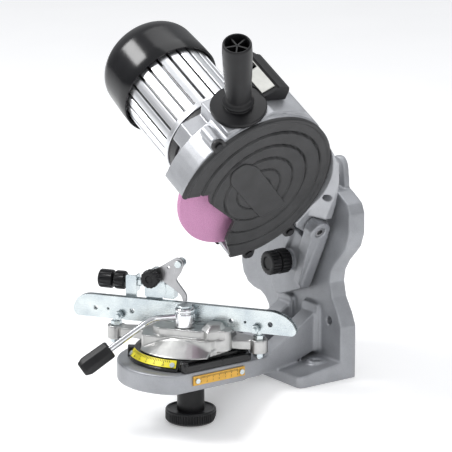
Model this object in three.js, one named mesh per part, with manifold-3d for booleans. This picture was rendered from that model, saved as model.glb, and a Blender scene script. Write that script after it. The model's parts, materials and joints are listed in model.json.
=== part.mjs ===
// Chain sharpening bench grinder: a cast base with a swivelling chain vise,
// and a tilting arm that carries a motor head with a thin grinding wheel.
// Millimetres, +Z up, +X to the operator's right, +Y away from the operator.
// The origin is the centre of the foot's flat underside.
import * as THREE from 'three';
import { mergeVertices } from 'three/addons/utils/BufferGeometryUtils.js';
import Module from 'manifold-3d';

const wasm = await Module();
wasm.setup();

// ---- driving dimensions ------------------------------------------------------
const GAP = 0.3; // clearance left between touching pieces

// base casting
const FOOT_HALF_X = 80.5;
const FOOT_HALF_Y = 33.5;
const FOOT_FRONT_Z = 11;
const FOOT_REAR_Z = 17.3;
const UPRIGHT_FRONT_Y = 15;
const UPRIGHT_BACK_Y = FOOT_HALF_Y;
const TABLE_BOTTOM_Z = 7;
const TABLE_TOP_Z = 26;
const TABLE_R = 61;
const TABLE_CENTRE_Y = -112.7;
const TABLE_SIDE_X = 46.2;
const RIB_TOP_Z = 65;
const SLOT_REACH = 15.4;

// the chain line: the vise's vertical axis, and the height of the tilt axis
const VISE_Y = -102;
const RAIL_BOTTOM_Z = 55.6;
const RAIL_TOP_Z = 77.6;
const TILT_Z = 80;
const VISE_ANGLE = THREE.MathUtils.degToRad(34.3);
const TILT_ANGLE = THREE.MathUtils.degToRad(28);

// vise
const SLIDE_BOTTOM_Z = TABLE_TOP_Z + GAP;
const SLIDE_TOP_Z = 36;
const SLIDE_RIM = [58.5, 27.5]; // radius and height where the bevel starts
const SLIDE_CROWN = [52.5, SLIDE_TOP_Z]; // and where it ends
const SLIDE_BAR_X = [39, 46.4];
const TURNTABLE_R = 50.5;
const TURNTABLE_BOTTOM_Z = SLIDE_TOP_Z + 0.5;
const TURNTABLE_TOP_Z = 51.3;
const PIVOT_R = 4;
const HUB_N = -15.5; // the clamp's axis, in front of the rails
const HUB_BOTTOM_Z = 59.3;
const HUB_TOP_Z = 77.5;
const RAIL_LEFT = -118;
const RAIL_RIGHT = 106.5;
const RAIL_THICK = 2.6;
const RAIL_HALF_GAP = 0.8;
const RAIL_MID_Z = 65;
const STUD_Z = 60.4;
const STUD_S = [-69.9, 67];
const LUG_S = [-77, 67];
const LUG_N = 4;
const FEED_N = 9.5; // the stop screw's axis
const FEED_Z = 91;
const PAWL_S = -36.8;
const PAWL_Z = 100;

// tilting arm, from the chain line (u, y, w)
const HINGE_Y = 101.4;
const HINGE_W = 88.7;
const HINGE_R = 5;
const ARM_FRONT_Y = 102.5;
const ARM_BACK_Y = 113.5;
const EAR_IN = 17;
const EAR_OUT = 30;
const EAR_R = 11;
const DEPTH_U = 3.5;
const DEPTH_W = 34;

// head, from the wheel's centre (a along the shaft, b to the back, c up)
const WHEEL_Y = 15.5;
const WHEEL_W = 144.7;
const WHEEL_R = 72.5;
const WHEEL_HALF_T = 2.4;
const SHAFT_R = 6;
const COVER_R = 81.4;
const COVER_BACK_A = 12.3;
const COVER_FRONT_A = 15.3;
const DRUM_BACK_A = -18;
const MOTOR_FRONT_A = -54;
const SHELL_FRONT_A = -64;
const SHELL_BACK_A = -154;
const SHELL_R = 46;
const CAP_FRONT_A = -136.5;
const CAP_BACK_A = -205;
const HANDLE_A = -12;
const HANDLE_LEAN = THREE.MathUtils.degToRad(20);
const HANDLE_BASE_R = 82.6; // distance of the handle's seat from the wheel's centre
const COVER_SCREWS = [[-62.1, 61.4], [20.5, -80.5], [61, -61.4]];
const SWITCH_BACK_A = -57;
const SWITCH_FRONT_A = -7.4;
const GLAND = [10, 91.6];

// ---- solids ------------------------------------------------------------------
function solid(geometry) {
  const bare = new THREE.BufferGeometry();
  bare.setAttribute('position', geometry.getAttribute('position'));
  if (geometry.index) bare.setIndex(geometry.index);
  const merged = mergeVertices(bare, 1e-4);
  const index = merged.index.array;
  const kept = [];
  for (let i = 0; i < index.length; i += 3) {
    const [a, b, c] = [index[i], index[i + 1], index[i + 2]];
    if (a !== b && b !== c && c !== a) kept.push(a, b, c);
  }
  const vertProperties = new Float32Array(merged.getAttribute('position').array);
  return new wasm.Manifold(new wasm.Mesh({ numProp: 3, vertProperties, triVerts: new Uint32Array(kept) }));
}

function geometryOf(manifold) {
  const mesh = manifold.getMesh();
  const geometry = new THREE.BufferGeometry();
  geometry.setAttribute('position', new THREE.BufferAttribute(new Float32Array(mesh.vertProperties), 3));
  geometry.setIndex(new THREE.BufferAttribute(new Uint32Array(mesh.triVerts), 1));
  geometry.computeVertexNormals();
  return geometry;
}

function join(...parts) {
  return parts.reduce((sum, part) => sum.add(part));
}

function cut(body, ...tools) {
  return tools.reduce((rest, tool) => rest.subtract(tool), body);
}

const AXES = {
  x: new THREE.Vector3(1, 0, 0),
  y: new THREE.Vector3(0, 1, 0),
  z: new THREE.Vector3(0, 0, 1),
};

// A shape drawn in two axes and pushed along the third, from low to high.
const PLANES = {
  z: new THREE.Matrix4().makeBasis(AXES.x, AXES.y, AXES.z),
  x: new THREE.Matrix4().makeBasis(AXES.y, AXES.z, AXES.x),
  y: new THREE.Matrix4().makeBasis(AXES.z, AXES.x, AXES.y),
};

function outline(points) {
  return new THREE.Shape(points.map(([p, q]) => new THREE.Vector2(p, q)));
}

// Points of a closed outline with its corners rounded by radius.
function rounded(points, radius, steps = 4) {
  const result = [];
  points.forEach((point, i) => {
    const here = new THREE.Vector2(...point);
    const before = new THREE.Vector2(...points[(i + points.length - 1) % points.length]);
    const after = new THREE.Vector2(...points[(i + 1) % points.length]);
    const reach = Math.min(radius, before.distanceTo(here) * 0.45, after.distanceTo(here) * 0.45);
    const start = here.clone().add(before.sub(here).setLength(reach));
    const end = here.clone().add(after.sub(here).setLength(reach));
    for (let k = 0; k <= steps; k += 1) {
      const t = k / steps;
      const p = start.clone().multiplyScalar((1 - t) ** 2);
      p.addScaledVector(here, 2 * t * (1 - t)).addScaledVector(end, t * t);
      result.push([p.x, p.y]);
    }
  });
  return result;
}

function push(points, axis, low, high) {
  const geometry = new THREE.ExtrudeGeometry(outline(points), { depth: high - low, bevelEnabled: false });
  geometry.translate(0, 0, low);
  geometry.applyMatrix4(PLANES[axis]);
  return solid(geometry);
}

function block(x0, x1, y0, y1, z0, z1) {
  const geometry = new THREE.BoxGeometry(x1 - x0, y1 - y0, z1 - z0);
  geometry.translate((x0 + x1) / 2, (y0 + y1) / 2, (z0 + z1) / 2);
  return solid(geometry);
}

// A round bar along x, y or z; at gives its place in the two other axes, in order.
function bar(axis, at, radius, low, high, sides = 20) {
  const points = [];
  for (let k = 0; k < sides; k += 1) {
    const turn = ((k + 0.5) / sides) * Math.PI * 2;
    points.push([radius * Math.cos(turn), radius * Math.sin(turn)]);
  }
  const spot = axis === 'y' ? [at[1], at[0]] : at;
  return push(points.map(([p, q]) => [p + spot[0], q + spot[1]]), axis, low, high);
}

const hex = (axis, at, radius, low, high) => bar(axis, at, radius, low, high, 6);

// A grip wheel with flutes round its rim.
function fluted(axis, at, radius, low, high, flutes = 14) {
  const points = [];
  for (let k = 0; k < flutes * 4; k += 1) {
    const turn = (k / (flutes * 4)) * Math.PI * 2;
    const r = k % 4 < 2 ? radius : radius * 0.93;
    points.push([r * Math.cos(turn), r * Math.sin(turn)]);
  }
  const spot = axis === 'y' ? [at[1], at[0]] : at;
  return push(points.map(([p, q]) => [p + spot[0], q + spot[1]]), axis, low, high);
}

// A solid of revolution about x; profile pairs are [radius, position along x].
function turned(profile, sides) {
  const lathe = new THREE.LatheGeometry(profile.map(([r, a]) => new THREE.Vector2(r, a)), sides);
  lathe.applyMatrix4(new THREE.Matrix4().makeBasis(AXES.y, AXES.x, AXES.z.clone().negate()));
  return solid(lathe);
}

function swept(points, radius, sides, steps) {
  const ring = [];
  for (let k = 0; k < sides; k += 1) {
    const turn = (k / sides) * Math.PI * 2;
    ring.push([radius * Math.cos(turn), radius * Math.sin(turn)]);
  }
  const path = new THREE.CatmullRomCurve3(points.map((p) => new THREE.Vector3(...p)), false, 'catmullrom', 0.1);
  return solid(new THREE.ExtrudeGeometry(outline(ring), { steps, bevelEnabled: false, extrudePath: path }));
}

// ---- materials and placing -----------------------------------------------------
const finish = (color, roughness, metalness) => () => new THREE.MeshStandardMaterial({ color, roughness, metalness });
const castPaint = finish(0xb4b5b7, 0.45, 0.3);
const machined = finish(0xb9bab8, 0.35, 0.9);
const zinc = finish(0xc9d2d2, 0.3, 0.9);
const chrome = finish(0xd8dadb, 0.12, 1);
const steel = finish(0x9a9c9e, 0.35, 0.9);
const blackPlastic = finish(0x1b1b1c, 0.45, 0);
const greyPlastic = finish(0x4b4b4c, 0.55, 0);
const glossBlack = finish(0x121213, 0.2, 0);
const finAluminium = finish(0xe2e3e4, 0.3, 0.7);
const abrasive = finish(0xc98bb6, 0.95, 0);
const orangeScale = finish(0xe0a030, 0.4, 0.2);
const yellowScale = finish(0xe8d820, 0.4, 0.1);
const copper = finish(0xa5622e, 0.4, 0.8);
const paleLabel = finish(0xdcdcd8, 0.5, 0);

const group = new THREE.Group();
const viseGroup = new THREE.Group();
viseGroup.position.set(0, VISE_Y, 0);
viseGroup.rotation.z = VISE_ANGLE;
const armGroup = new THREE.Group();
armGroup.position.set(0, VISE_Y, TILT_Z);
armGroup.rotation.y = TILT_ANGLE;
const headGroup = new THREE.Group();
headGroup.position.set(0, WHEEL_Y, WHEEL_W);
armGroup.add(headGroup);
group.add(viseGroup, armGroup);

function piece(parent, name, body, material) {
  const mesh = new THREE.Mesh(geometryOf(body), material());
  mesh.name = name;
  parent.add(mesh);
}

// ---- base ------------------------------------------------------------------------
const UPRIGHT_OUTLINE = [
  [FOOT_HALF_X, 0], [FOOT_HALF_X, 52], [75, 63.8], [66.2, 77], [62.6, 92], [64.5, 103], [71, 113.3],
  [87.3, 130.4], [92.4, 145], [92.1, 164], [88, 173], [72.8, 182.5], [30, 191], [-10, 188], [-45, 171],
  [-68, 145], [-78.8, 116], [-78.8, 84], [-76, 73], [-68, 64.5], [-58, 60.8], [-48, 60], [-40.5, 56.5],
  [-34, 49], [-33, 38], [-42, 27], [-60, 20], [-FOOT_HALF_X, 17], [-FOOT_HALF_X, 0],
];
const flip = ([x, z]) => [z, x]; // outlines pushed along y are drawn as (z, x)

function castFoot() {
  const half = FOOT_HALF_X;
  const depth = FOOT_HALF_Y;
  const plan = rounded([[-half, -depth], [half, -depth], [half, depth], [-half, depth]], 7);
  const wedge = [[-depth, 0], [depth, 0], [depth, FOOT_REAR_Z], [UPRIGHT_FRONT_Y, FOOT_REAR_Z], [-depth, FOOT_FRONT_Z]];
  return push(plan, 'z', 0, FOOT_REAR_Z).intersect(push(wedge, 'x', -half, half));
}

function castUpright() {
  const plate = push(UPRIGHT_OUTLINE.map(flip), 'y', UPRIGHT_FRONT_Y, UPRIGHT_BACK_Y);
  const ear = rounded([[44, 170], [70, 170], [69, 190], [66.5, 207], [61, 213], [52, 213], [48, 205], [47, 190]], 5);
  const hanger = push(ear.map(flip), 'y', UPRIGHT_BACK_Y - 7, UPRIGHT_BACK_Y);
  const pockets = [
    [[-70, 90], [-70, 118], [-60, 142], [-41, 162], [-11, 178], [-11, 98], [-22, 92]],
    [[11, 98], [11, 180], [30, 182], [69, 173.5], [83, 162], [83.5, 146], [79, 134], [56, 108], [52, 98]],
    [[-24, 58], [-24, 36], [-34, 24], [-11, 24], [-11, 62]],
    [[22, 62], [52, 62], [57, 50], [71, 48], [71, 24], [22, 24]],
  ];
  const hollows = pockets.map((p) => push(rounded(p, 5).map(flip), 'y', UPRIGHT_FRONT_Y + 6, UPRIGHT_BACK_Y + 1));
  return cut(join(plate, hanger), ...hollows);
}

function castTable() {
  const disc = bar('z', [0, TABLE_CENTRE_Y], TABLE_R, TABLE_BOTTOM_Z, TABLE_TOP_Z, 64);
  const corner = block(-60, TABLE_SIDE_X, TABLE_CENTRE_Y - 90, -20, 0, 40);
  return disc.intersect(corner);
}

// One rib of the forearm, from the table to the upright.
function castRib(x0, x1) {
  const side = [
    [-118, TABLE_BOTTOM_Z], [-55, 8.6], [-25, 11.6], [-5, 17.3], [UPRIGHT_FRONT_Y + 2, 24.6],
    [UPRIGHT_FRONT_Y + 2, RIB_TOP_Z], [-46, TABLE_TOP_Z], [-118, TABLE_TOP_Z],
  ];
  const collar = rounded([[x0 - 3, 20], [x1 + 3, 20], [x1 + 3, 68.6], [x0 - 3, 68.6]], 6);
  return join(push(side, 'x', x0, x1), push(collar.map(flip), 'y', UPRIGHT_FRONT_Y - 4.5, UPRIGHT_FRONT_Y + 1));
}

function castWeb() {
  const side = [
    [-118, TABLE_BOTTOM_Z], [-55, 8.6], [-25, 11.6], [-5, 17.3], [UPRIGHT_FRONT_Y + 2, 24.6],
    [UPRIGHT_FRONT_Y + 2, 36], [-8, 28], [-30, 21], [-50, TABLE_TOP_Z], [-118, TABLE_TOP_Z],
  ];
  return push(side, 'x', 0, 34);
}

function baseCasting() {
  const bosses = [-59, 59].map((x) => bar('z', [x, 2], 9, 5, FOOT_REAR_Z + 0.7));
  const slot = join(
    block(-6.2, 6.2, VISE_Y - SLOT_REACH, VISE_Y + SLOT_REACH, 0, 40),
    bar('z', [0, VISE_Y - SLOT_REACH], 6.2, 0, 40, 20),
    bar('z', [0, VISE_Y + SLOT_REACH], 6.2, 0, 40, 20),
  );
  const underside = cut(
    bar('z', [0, TABLE_CENTRE_Y], TABLE_R - 8, 0, TABLE_BOTTOM_Z + 9, 40),
    block(-17, 17, -180, 0, 0, 40),
    block(TABLE_SIDE_X - 8, 90, -200, 0, 0, 40),
    block(-90, 90, -88, 0, 0, 40),
  );
  return cut(
    join(castFoot(), castUpright(), castTable(), castRib(27, TABLE_SIDE_X), castRib(-12, 6.5), castWeb(), ...bosses),
    slot,
    underside,
    bar('z', [-59, 2], 4.3, -1, 30),
    bar('z', [59, 2], 4.3, -1, 30),
    bar('y', [55.5, 203], 3.6, 20, 40, 16),
    bar('y', [62, 54.8], 4, 0, 40, 16),
    bar('y', [0, TILT_Z], 5.4, 0, 40, 20),
    bar('x', [-128, 17.6], 1.8, TABLE_SIDE_X - 7, 60, 10),
    bar('x', [-77.5, 17.6], 1.8, TABLE_SIDE_X - 7, 60, 10),
  );
}

function tableScale() {
  const plate = block(TABLE_SIDE_X + GAP, TABLE_SIDE_X + 1.7, -132.3, -73.4, 13.2, 22.2);
  return cut(plate, bar('x', [-128, 17.6], 1.8, 40, 60, 10), bar('x', [-77.5, 17.6], 1.8, 40, 60, 10));
}

const tableScaleScrew = (y) => join(
  bar('x', [y, 17.6], 2.6, TABLE_SIDE_X + 2, TABLE_SIDE_X + 3.4, 14),
  bar('x', [y, 17.6], 1.4, TABLE_SIDE_X - 6, TABLE_SIDE_X + 2.2, 8),
);

piece(group, 'base_casting', baseCasting(), castPaint);
piece(group, 'table_scale', tableScale(), orangeScale);
piece(group, 'table_scale_screw_front', tableScaleScrew(-128), zinc);
piece(group, 'table_scale_screw_rear', tableScaleScrew(-77.5), zinc);

// ---- down-angle slide -----------------------------------------------------------
const slideGroup = new THREE.Group();
slideGroup.position.set(0, VISE_Y, 0);
group.add(slideGroup);
const SCALE_FROM = 245;
const SCALE_TO = 311;
const BEVEL_LIFT = THREE.MathUtils.radToDeg(Math.atan2(
  SLIDE_RIM[0] - SLIDE_CROWN[0],
  SLIDE_CROWN[1] - SLIDE_RIM[1],
));

// A solid of revolution about z; profile pairs are [radius, height].
const spun = (profile, sides) => turned(profile, sides).rotate([0, -90, 0]);

function sector(inner, outer, from, to, low, high) {
  const points = [];
  const steps = Math.max(2, Math.round((to - from) / 4));
  for (let k = 0; k <= steps; k += 1) points.push([outer, from + ((to - from) * k) / steps]);
  for (let k = steps; k >= 0; k -= 1) points.push([inner, from + ((to - from) * k) / steps]);
  const radians = THREE.MathUtils.degToRad;
  return push(points.map(([r, turn]) => [r * Math.cos(radians(turn)), r * Math.sin(radians(turn))]), 'z', low, high);
}

// Puts a solid that stands along +X on the middle of the slide's bevel.
function onBevel(body, turn) {
  const r = (SLIDE_RIM[0] + SLIDE_CROWN[0]) / 2;
  const z = (SLIDE_RIM[1] + SLIDE_CROWN[1]) / 2;
  return body.rotate([0, -BEVEL_LIFT, 0]).translate([r, 0, z]).rotate([0, 0, turn]);
}

function slidePlate() {
  const cone = spun([[0, SLIDE_BOTTOM_Z], [SLIDE_RIM[0], SLIDE_BOTTOM_Z], SLIDE_RIM, SLIDE_CROWN, [0, SLIDE_TOP_Z]], 56);
  const plate = cut(cone, block(SLIDE_BAR_X[0] - 0.5, 90, -90, 90, 0, 60), block(-90, 90, 41, 90, 0, 60));
  const rail = [
    [SLIDE_BAR_X[0] - 1, -30], [SLIDE_BAR_X[0] - 1, -37], [43, -41], [SLIDE_BAR_X[1], -39],
    [SLIDE_BAR_X[1], 37], [SLIDE_BAR_X[0] - 1, 37],
  ];
  const stop = sector(51.6, SLIDE_RIM[0] + 1, SCALE_FROM - 15, SCALE_FROM - 5, SLIDE_BOTTOM_Z, SLIDE_TOP_Z);
  const knuckle = bar('z', [42.6, -37], 3.7, SLIDE_BOTTOM_Z, 35.4, 18);
  const tongue = join(
    block(-5.9, 5.9, -2, 2, 13, SLIDE_BOTTOM_Z + 1),
    bar('z', [0, -2], 5.9, 13, SLIDE_BOTTOM_Z + 1, 20),
    bar('z', [0, 2], 5.9, 13, SLIDE_BOTTOM_Z + 1, 20),
  );
  return cut(
    join(plate, push(rail, 'z', SLIDE_BOTTOM_Z, 33), stop, knuckle, tongue),
    bar('z', [0, 0], PIVOT_R + 0.2, 0, 50),
    onBevel(bar('x', [0, 0], 1.6, -5, 5, 10), SCALE_FROM + 3.5),
    onBevel(bar('x', [0, 0], 1.6, -5, 5, 10), SCALE_TO - 3.5),
    block(44.6, 60, 3.6, 4.6, 29, 40),
  );
}

function angleScale() {
  const away = GAP + 1.1;
  const ring = spun([
    [SLIDE_CROWN[0] + GAP, SLIDE_CROWN[1] + 0.3], [SLIDE_RIM[0] - 1.6 + GAP, SLIDE_RIM[1] + 2.7],
    [SLIDE_RIM[0] - 1.6 + away, SLIDE_RIM[1] + 3.2], [SLIDE_CROWN[0] + away, SLIDE_CROWN[1] + 0.8],
    [SLIDE_CROWN[0] + GAP, SLIDE_CROWN[1] + 0.3],
  ], 90);
  return cut(
    ring.intersect(sector(40, 70, SCALE_FROM, SCALE_TO, 20, 50)),
    onBevel(bar('x', [0, 0], 1.6, -5, 5, 10), SCALE_FROM + 3.5),
    onBevel(bar('x', [0, 0], 1.6, -5, 5, 10), SCALE_TO - 3.5),
  );
}

const angleScaleScrew = (turn) => onBevel(
  join(bar('x', [0, 0], 2.5, 1.8, 2.9, 14), bar('x', [0, 0], 1.25, -4.5, 2, 8)),
  turn,
);

// The lock knob's bolt holds the turntable and the slide down on the table.
const pivotBolt = () => join(
  bar('z', [0, 0], PIVOT_R, -28, 49),
  hex('z', [0, 0], 6.4, -28, -26.6),
);

function lockKnob() {
  const grip = fluted('z', [0, 0], 24.3, -37.5, -25.2, 24);
  const dish = bar('z', [0, 0], 20, -39, -37, 32);
  const sleeve = bar('z', [0, 0], 13.1, -25.5, TABLE_BOTTOM_Z - GAP, 32);
  return cut(
    join(grip, dish, sleeve),
    bar('z', [0, 0], PIVOT_R + 0.25, -26.2, 20),
    bar('z', [0, 0], 8, -29, -26.1, 16),
  );
}

piece(slideGroup, 'slide_plate', slidePlate(), blackPlastic);
piece(slideGroup, 'angle_scale', angleScale(), yellowScale);
piece(slideGroup, 'angle_scale_screw_left', angleScaleScrew(SCALE_FROM + 3.5), zinc);
piece(slideGroup, 'angle_scale_screw_right', angleScaleScrew(SCALE_TO - 3.5), zinc);
piece(slideGroup, 'pivot_bolt', pivotBolt(), steel);
piece(slideGroup, 'lock_knob', lockKnob(), blackPlastic);

// ---- vise -----------------------------------------------------------------------
function lug(s) {
  const side = Math.sign(s);
  const arm = [[side * 30, -9], [side * 60, -2], [s, LUG_N - 6], [s, LUG_N + 6], [side * 60, 14], [side * 30, 26]];
  const points = side > 0 ? arm : arm.reverse();
  return join(push(points, 'z', 38, 47), bar('z', [s, LUG_N], 8.6, 35, 48));
}

const SKIRT_SIDES = [
  [-38.5, -52], [31.5, -52], [31.5, -33], [41.5, -12], [41.5, 14], [26, 34], [-26, 34], [-42, 14],
  [-43, -12], [-38.5, -31],
];

function turntable() {
  const skirt = spun([
    [0, TURNTABLE_BOTTOM_Z], [TURNTABLE_R, TURNTABLE_BOTTOM_Z], [TURNTABLE_R, TURNTABLE_BOTTOM_Z + 0.8],
    [31, TURNTABLE_TOP_Z], [0, TURNTABLE_TOP_Z],
  ], 48).intersect(push(SKIRT_SIDES, 'z', 30, 60));
  const prism = [[-38, -31], [30.5, -33], [41.5, -12], [41.5, 14], [26, 34], [-26, 34], [-42, 14], [-43, -12]];
  const seat = [[-31, -20], [-23, -28], [20, -28], [28, -21], [30, -4.6], [-31, -4.6]];
  const under = [[-34, -5], [34, -5], [34, 18], [20, 30], [-20, 30], [-34, 18]];
  const lobe = cut(bar('z', [34.5, -14], 11.8, 40, 59.5, 24), block(0, 60, -4.6, 10, TURNTABLE_TOP_Z, 70));
  return cut(
    join(
      skirt,
      push(rounded(prism, 2.5, 1), 'z', TURNTABLE_BOTTOM_Z, TURNTABLE_TOP_Z),
      push(rounded(seat, 3, 2), 'z', 50, 58.9),
      push(rounded(under, 4, 2), 'z', 50, RAIL_BOTTOM_Z - 0.6),
      lobe,
      ...LUG_S.map(lug),
    ),
    block(24, 60, -40, -22, TURNTABLE_TOP_Z, 70),
    bar('z', [0, 0], PIVOT_R + 0.3, 20, 50),
    bar('z', [0, HUB_N], 4.3, 51, 70, 16),
    ...LUG_S.map((s) => bar('z', [s, LUG_N], 3.1, 20, 60, 12)),
  );
}

const RAIL_OUTLINE = [
  [RAIL_LEFT + 3, RAIL_BOTTOM_Z], [RAIL_RIGHT - 3, RAIL_BOTTOM_Z], [RAIL_RIGHT, RAIL_BOTTOM_Z + 4],
  [RAIL_RIGHT - 3, RAIL_BOTTOM_Z + 11], [RAIL_RIGHT - 9, RAIL_TOP_Z - 5], [RAIL_RIGHT - 21, RAIL_TOP_Z],
  [RAIL_LEFT + 13, RAIL_TOP_Z], [RAIL_LEFT + 4, RAIL_TOP_Z - 4], [RAIL_LEFT, RAIL_TOP_Z - 13],
  [RAIL_LEFT, RAIL_BOTTOM_Z + 4],
];
const RAIL_HOLES = [[-95.2, 2.4], [-58.1, 2.6], [-82.4, 1.4], [41.9, 2.4], [80.6, 2.6], [55.7, 1.4]];

function rail(low) {
  const plate = push(rounded(RAIL_OUTLINE, 6, 3).map(flip), 'y', low, low + RAIL_THICK);
  return cut(
    plate,
    ...RAIL_HOLES.map(([s, r]) => bar('y', [s, RAIL_MID_Z], r, -20, 20, 12)),
    ...STUD_S.map((s) => bar('y', [s, STUD_Z], 2.7, -20, 20, 12)),
  );
}

const railStud = (s) => join(
  bar('y', [s, STUD_Z], 2.2, -12.5, 9, 12),
  hex('y', [s, STUD_Z], 4.2, -9.5, -5.2),
  hex('y', [s, STUD_Z], 4.2, RAIL_HALF_GAP + RAIL_THICK + GAP, 7),
);

const heightScrew = (s) => join(
  bar('z', [s, LUG_N], 2.8, 29, RAIL_BOTTOM_Z - 0.4, 12),
  hex('z', [s, LUG_N], 5.4, 48.3, 52),
  hex('z', [s, LUG_N], 5.4, 31, 34.7),
);

const camPost = () => join(
  bar('z', [0, HUB_N], 4, 51.5, HUB_TOP_Z + 2, 16),
  bar('z', [0, HUB_N], 7, HUB_TOP_Z + GAP, HUB_TOP_Z + 2.1, 24),
);

function stopBracket() {
  const front = rounded([[-67, 62], [-56, 62], [-56, 98], [-67, 98]], 2, 2);
  const leg = rounded([[3.8, 82], [14.5, 82], [14.5, 98], [3.8, 98]], 2, 2);
  return cut(
    join(push(front.map(flip), 'y', 3.8, 5.3), push(leg, 'x', -57.5, -56)),
    bar('x', [FEED_N, FEED_Z], 3.3, -70, -50, 14),
    bar('y', [-58.1, RAIL_MID_Z], 2.6, 0, 10, 12),
  );
}

piece(viseGroup, 'turntable', turntable(), machined);
piece(viseGroup, 'back_rail', rail(RAIL_HALF_GAP), zinc);
piece(viseGroup, 'front_rail', rail(-RAIL_HALF_GAP - RAIL_THICK), zinc);
['left', 'right'].forEach((side, i) => {
  piece(viseGroup, `rail_stud_${side}`, railStud(STUD_S[i]), zinc);
  piece(viseGroup, `height_screw_${side}`, heightScrew(LUG_S[i]), zinc);
});
piece(viseGroup, 'cam_post', camPost(), zinc);
piece(viseGroup, 'stop_bracket', stopBracket(), zinc);

// ---- clamp lever ------------------------------------------------------------------
const LEVER_TURN = THREE.MathUtils.degToRad(212.6);
const leverPoint = (r, z) => [r * Math.cos(LEVER_TURN), HUB_N + r * Math.sin(LEVER_TURN), z];
const LEVER_BEND = [[5.6, 68.5], [20, 68.2], [29, 67.8], [36, 65], [54, 52.9], [72, 40.8], [88, 30]];

function camHub() {
  const socket = swept([leverPoint(4.8, 68.5), leverPoint(16, 68.4)], 3.5, 12, 1);
  const tall = HUB_TOP_Z - HUB_BOTTOM_Z;
  const edge = turned([[0, 0], [9.6, 0], [9.6, tall - 2.8], [7.6, tall], [0, tall]], 32);
  const upright = edge.rotate([0, -90, 0]).translate([0, HUB_N, HUB_BOTTOM_Z]);
  return cut(upright, bar('z', [0, HUB_N], 4.3, 50, 90, 16), socket);
}

const leverRod = () => swept(LEVER_BEND.map(([r, z]) => leverPoint(r, z)), 3.1, 12, 22);

// The grip slopes down with the rod's outer stretch; its socket clears the rod.
function leverGrip() {
  const from = new THREE.Vector3(...leverPoint(71, 41.5));
  const to = new THREE.Vector3(...leverPoint(98.5, 22.9));
  const length = from.distanceTo(to);
  const body = turned([[0, 0], [8.6, 0], [9.4, 2], [9.9, length - 6], [7.4, length], [0, length]], 8);
  const bore = bar('x', [0, 0], 3.6, -1, length - 10, 14);
  const along = to.clone().sub(from).normalize();
  const turn = new THREE.Matrix4().makeRotationFromQuaternion(
    new THREE.Quaternion().setFromUnitVectors(AXES.x, along),
  );
  turn.setPosition(from);
  return cut(body, bore).transform(turn.elements);
}

piece(viseGroup, 'cam_hub', camHub(), chrome);
piece(viseGroup, 'lever_rod', leverRod(), chrome);
piece(viseGroup, 'lever_grip', leverGrip(), blackPlastic);

// ---- chain stop -------------------------------------------------------------------
const stopScrew = () => join(
  bar('x', [FEED_N, FEED_Z], 2.7, -93, -27, 14),
  hex('x', [FEED_N, FEED_Z], 4.6, -55.6, -52.4),
);

function stopKnob() {
  const grip = fluted('x', [FEED_N, FEED_Z], 8.9, -95.5, -81, 12);
  return cut(join(grip, bar('x', [FEED_N, FEED_Z], 5.6, -82, -79.8, 16)), bar('x', [FEED_N, FEED_Z], 3, -94, -70, 14));
}

function stopLockWheel() {
  const grip = fluted('x', [FEED_N, FEED_Z], 8.9, -79.4, -68.6, 12);
  return cut(join(grip, bar('x', [FEED_N, FEED_Z], 5.6, -69, -67.4, 16)), bar('x', [FEED_N, FEED_Z], 3, -94, -60, 14));
}

function stopCarriage() {
  const cheek = rounded([[-47, 79], [-29, 79], [-25, 84], [-26, 92], [-31, 104], [-36, 108], [-42, 106], [-47, 94]], 3, 3);
  const hook = block(-46, -30, 3.9, 6.4, 67, 81);
  const body = push(cheek.map(flip), 'y', 1.6, 13.2);
  const hollow = push([[-60, 80.5], [-33, 80.5], [-33, 85.5], [-60, 85.5]].map(flip), 'y', 6.6, 20);
  const nose = block(-28, -17.5, 2.2, 13, 79, 92.5);
  return cut(
    join(body, hook, nose),
    hollow,
    bar('x', [FEED_N, FEED_Z], 3.1, -60, -10, 14),
    bar('y', [PAWL_S, PAWL_Z], 2.6, -10, 20, 12),
    block(-60, 0, 9.8, 20, 97.5, 120),
  );
}

const PAWL_OUTLINE = [
  [-41.5, 101], [-39, 106.5], [-32, 109], [-14, 120.8], [-8.5, 119.5], [-6, 115], [-9.5, 106], [-14.5, 99],
  [-9.6, 93.1], [-3.6, 85.5], [-3.2, 78.4], [-7, 78.4], [-8.8, 84.5], [-17, 90.4], [-29, 97.5], [-37, 94.5],
];

function pawlArm() {
  const plate = push(rounded(PAWL_OUTLINE, 2.5, 2).map(flip), 'y', -1.3, 1.2);
  return cut(
    plate,
    bar('y', [PAWL_S, PAWL_Z], 2.6, -10, 20, 12),
    bar('y', [-21.5, 110.5], 1.6, -10, 20, 10),
    bar('y', [-11.5, 114.5], 2.3, -10, 20, 12),
  );
}

const pawlRoller = () => join(
  bar('y', [-11.5, 114.5], 4.6, 1.5, 8, 20),
  bar('y', [-11.5, 114.5], 2, -3.2, 2, 12),
  bar('y', [-11.5, 114.5], 3.4, -3.6, -1.6, 16),
);

const pawlKnob = () => join(
  fluted('y', [PAWL_S, PAWL_Z], 8.9, -13.5, -4.5, 14),
  bar('y', [PAWL_S, PAWL_Z], 6, -5, -1.7, 20),
  bar('y', [PAWL_S, PAWL_Z], 2.3, -2, 9.4, 12),
);

piece(viseGroup, 'stop_screw', stopScrew(), zinc);
piece(viseGroup, 'stop_knob', stopKnob(), blackPlastic);
piece(viseGroup, 'stop_lock_wheel', stopLockWheel(), blackPlastic);
piece(viseGroup, 'stop_carriage', stopCarriage(), zinc);
piece(viseGroup, 'pawl_arm', pawlArm(), steel);
piece(viseGroup, 'pawl_roller', pawlRoller(), zinc);
piece(viseGroup, 'pawl_knob', pawlKnob(), blackPlastic);

// ---- tilting arm --------------------------------------------------------------------
const HEEL_W = 20; // where the arm's foot narrows towards the tilt bolt

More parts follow.
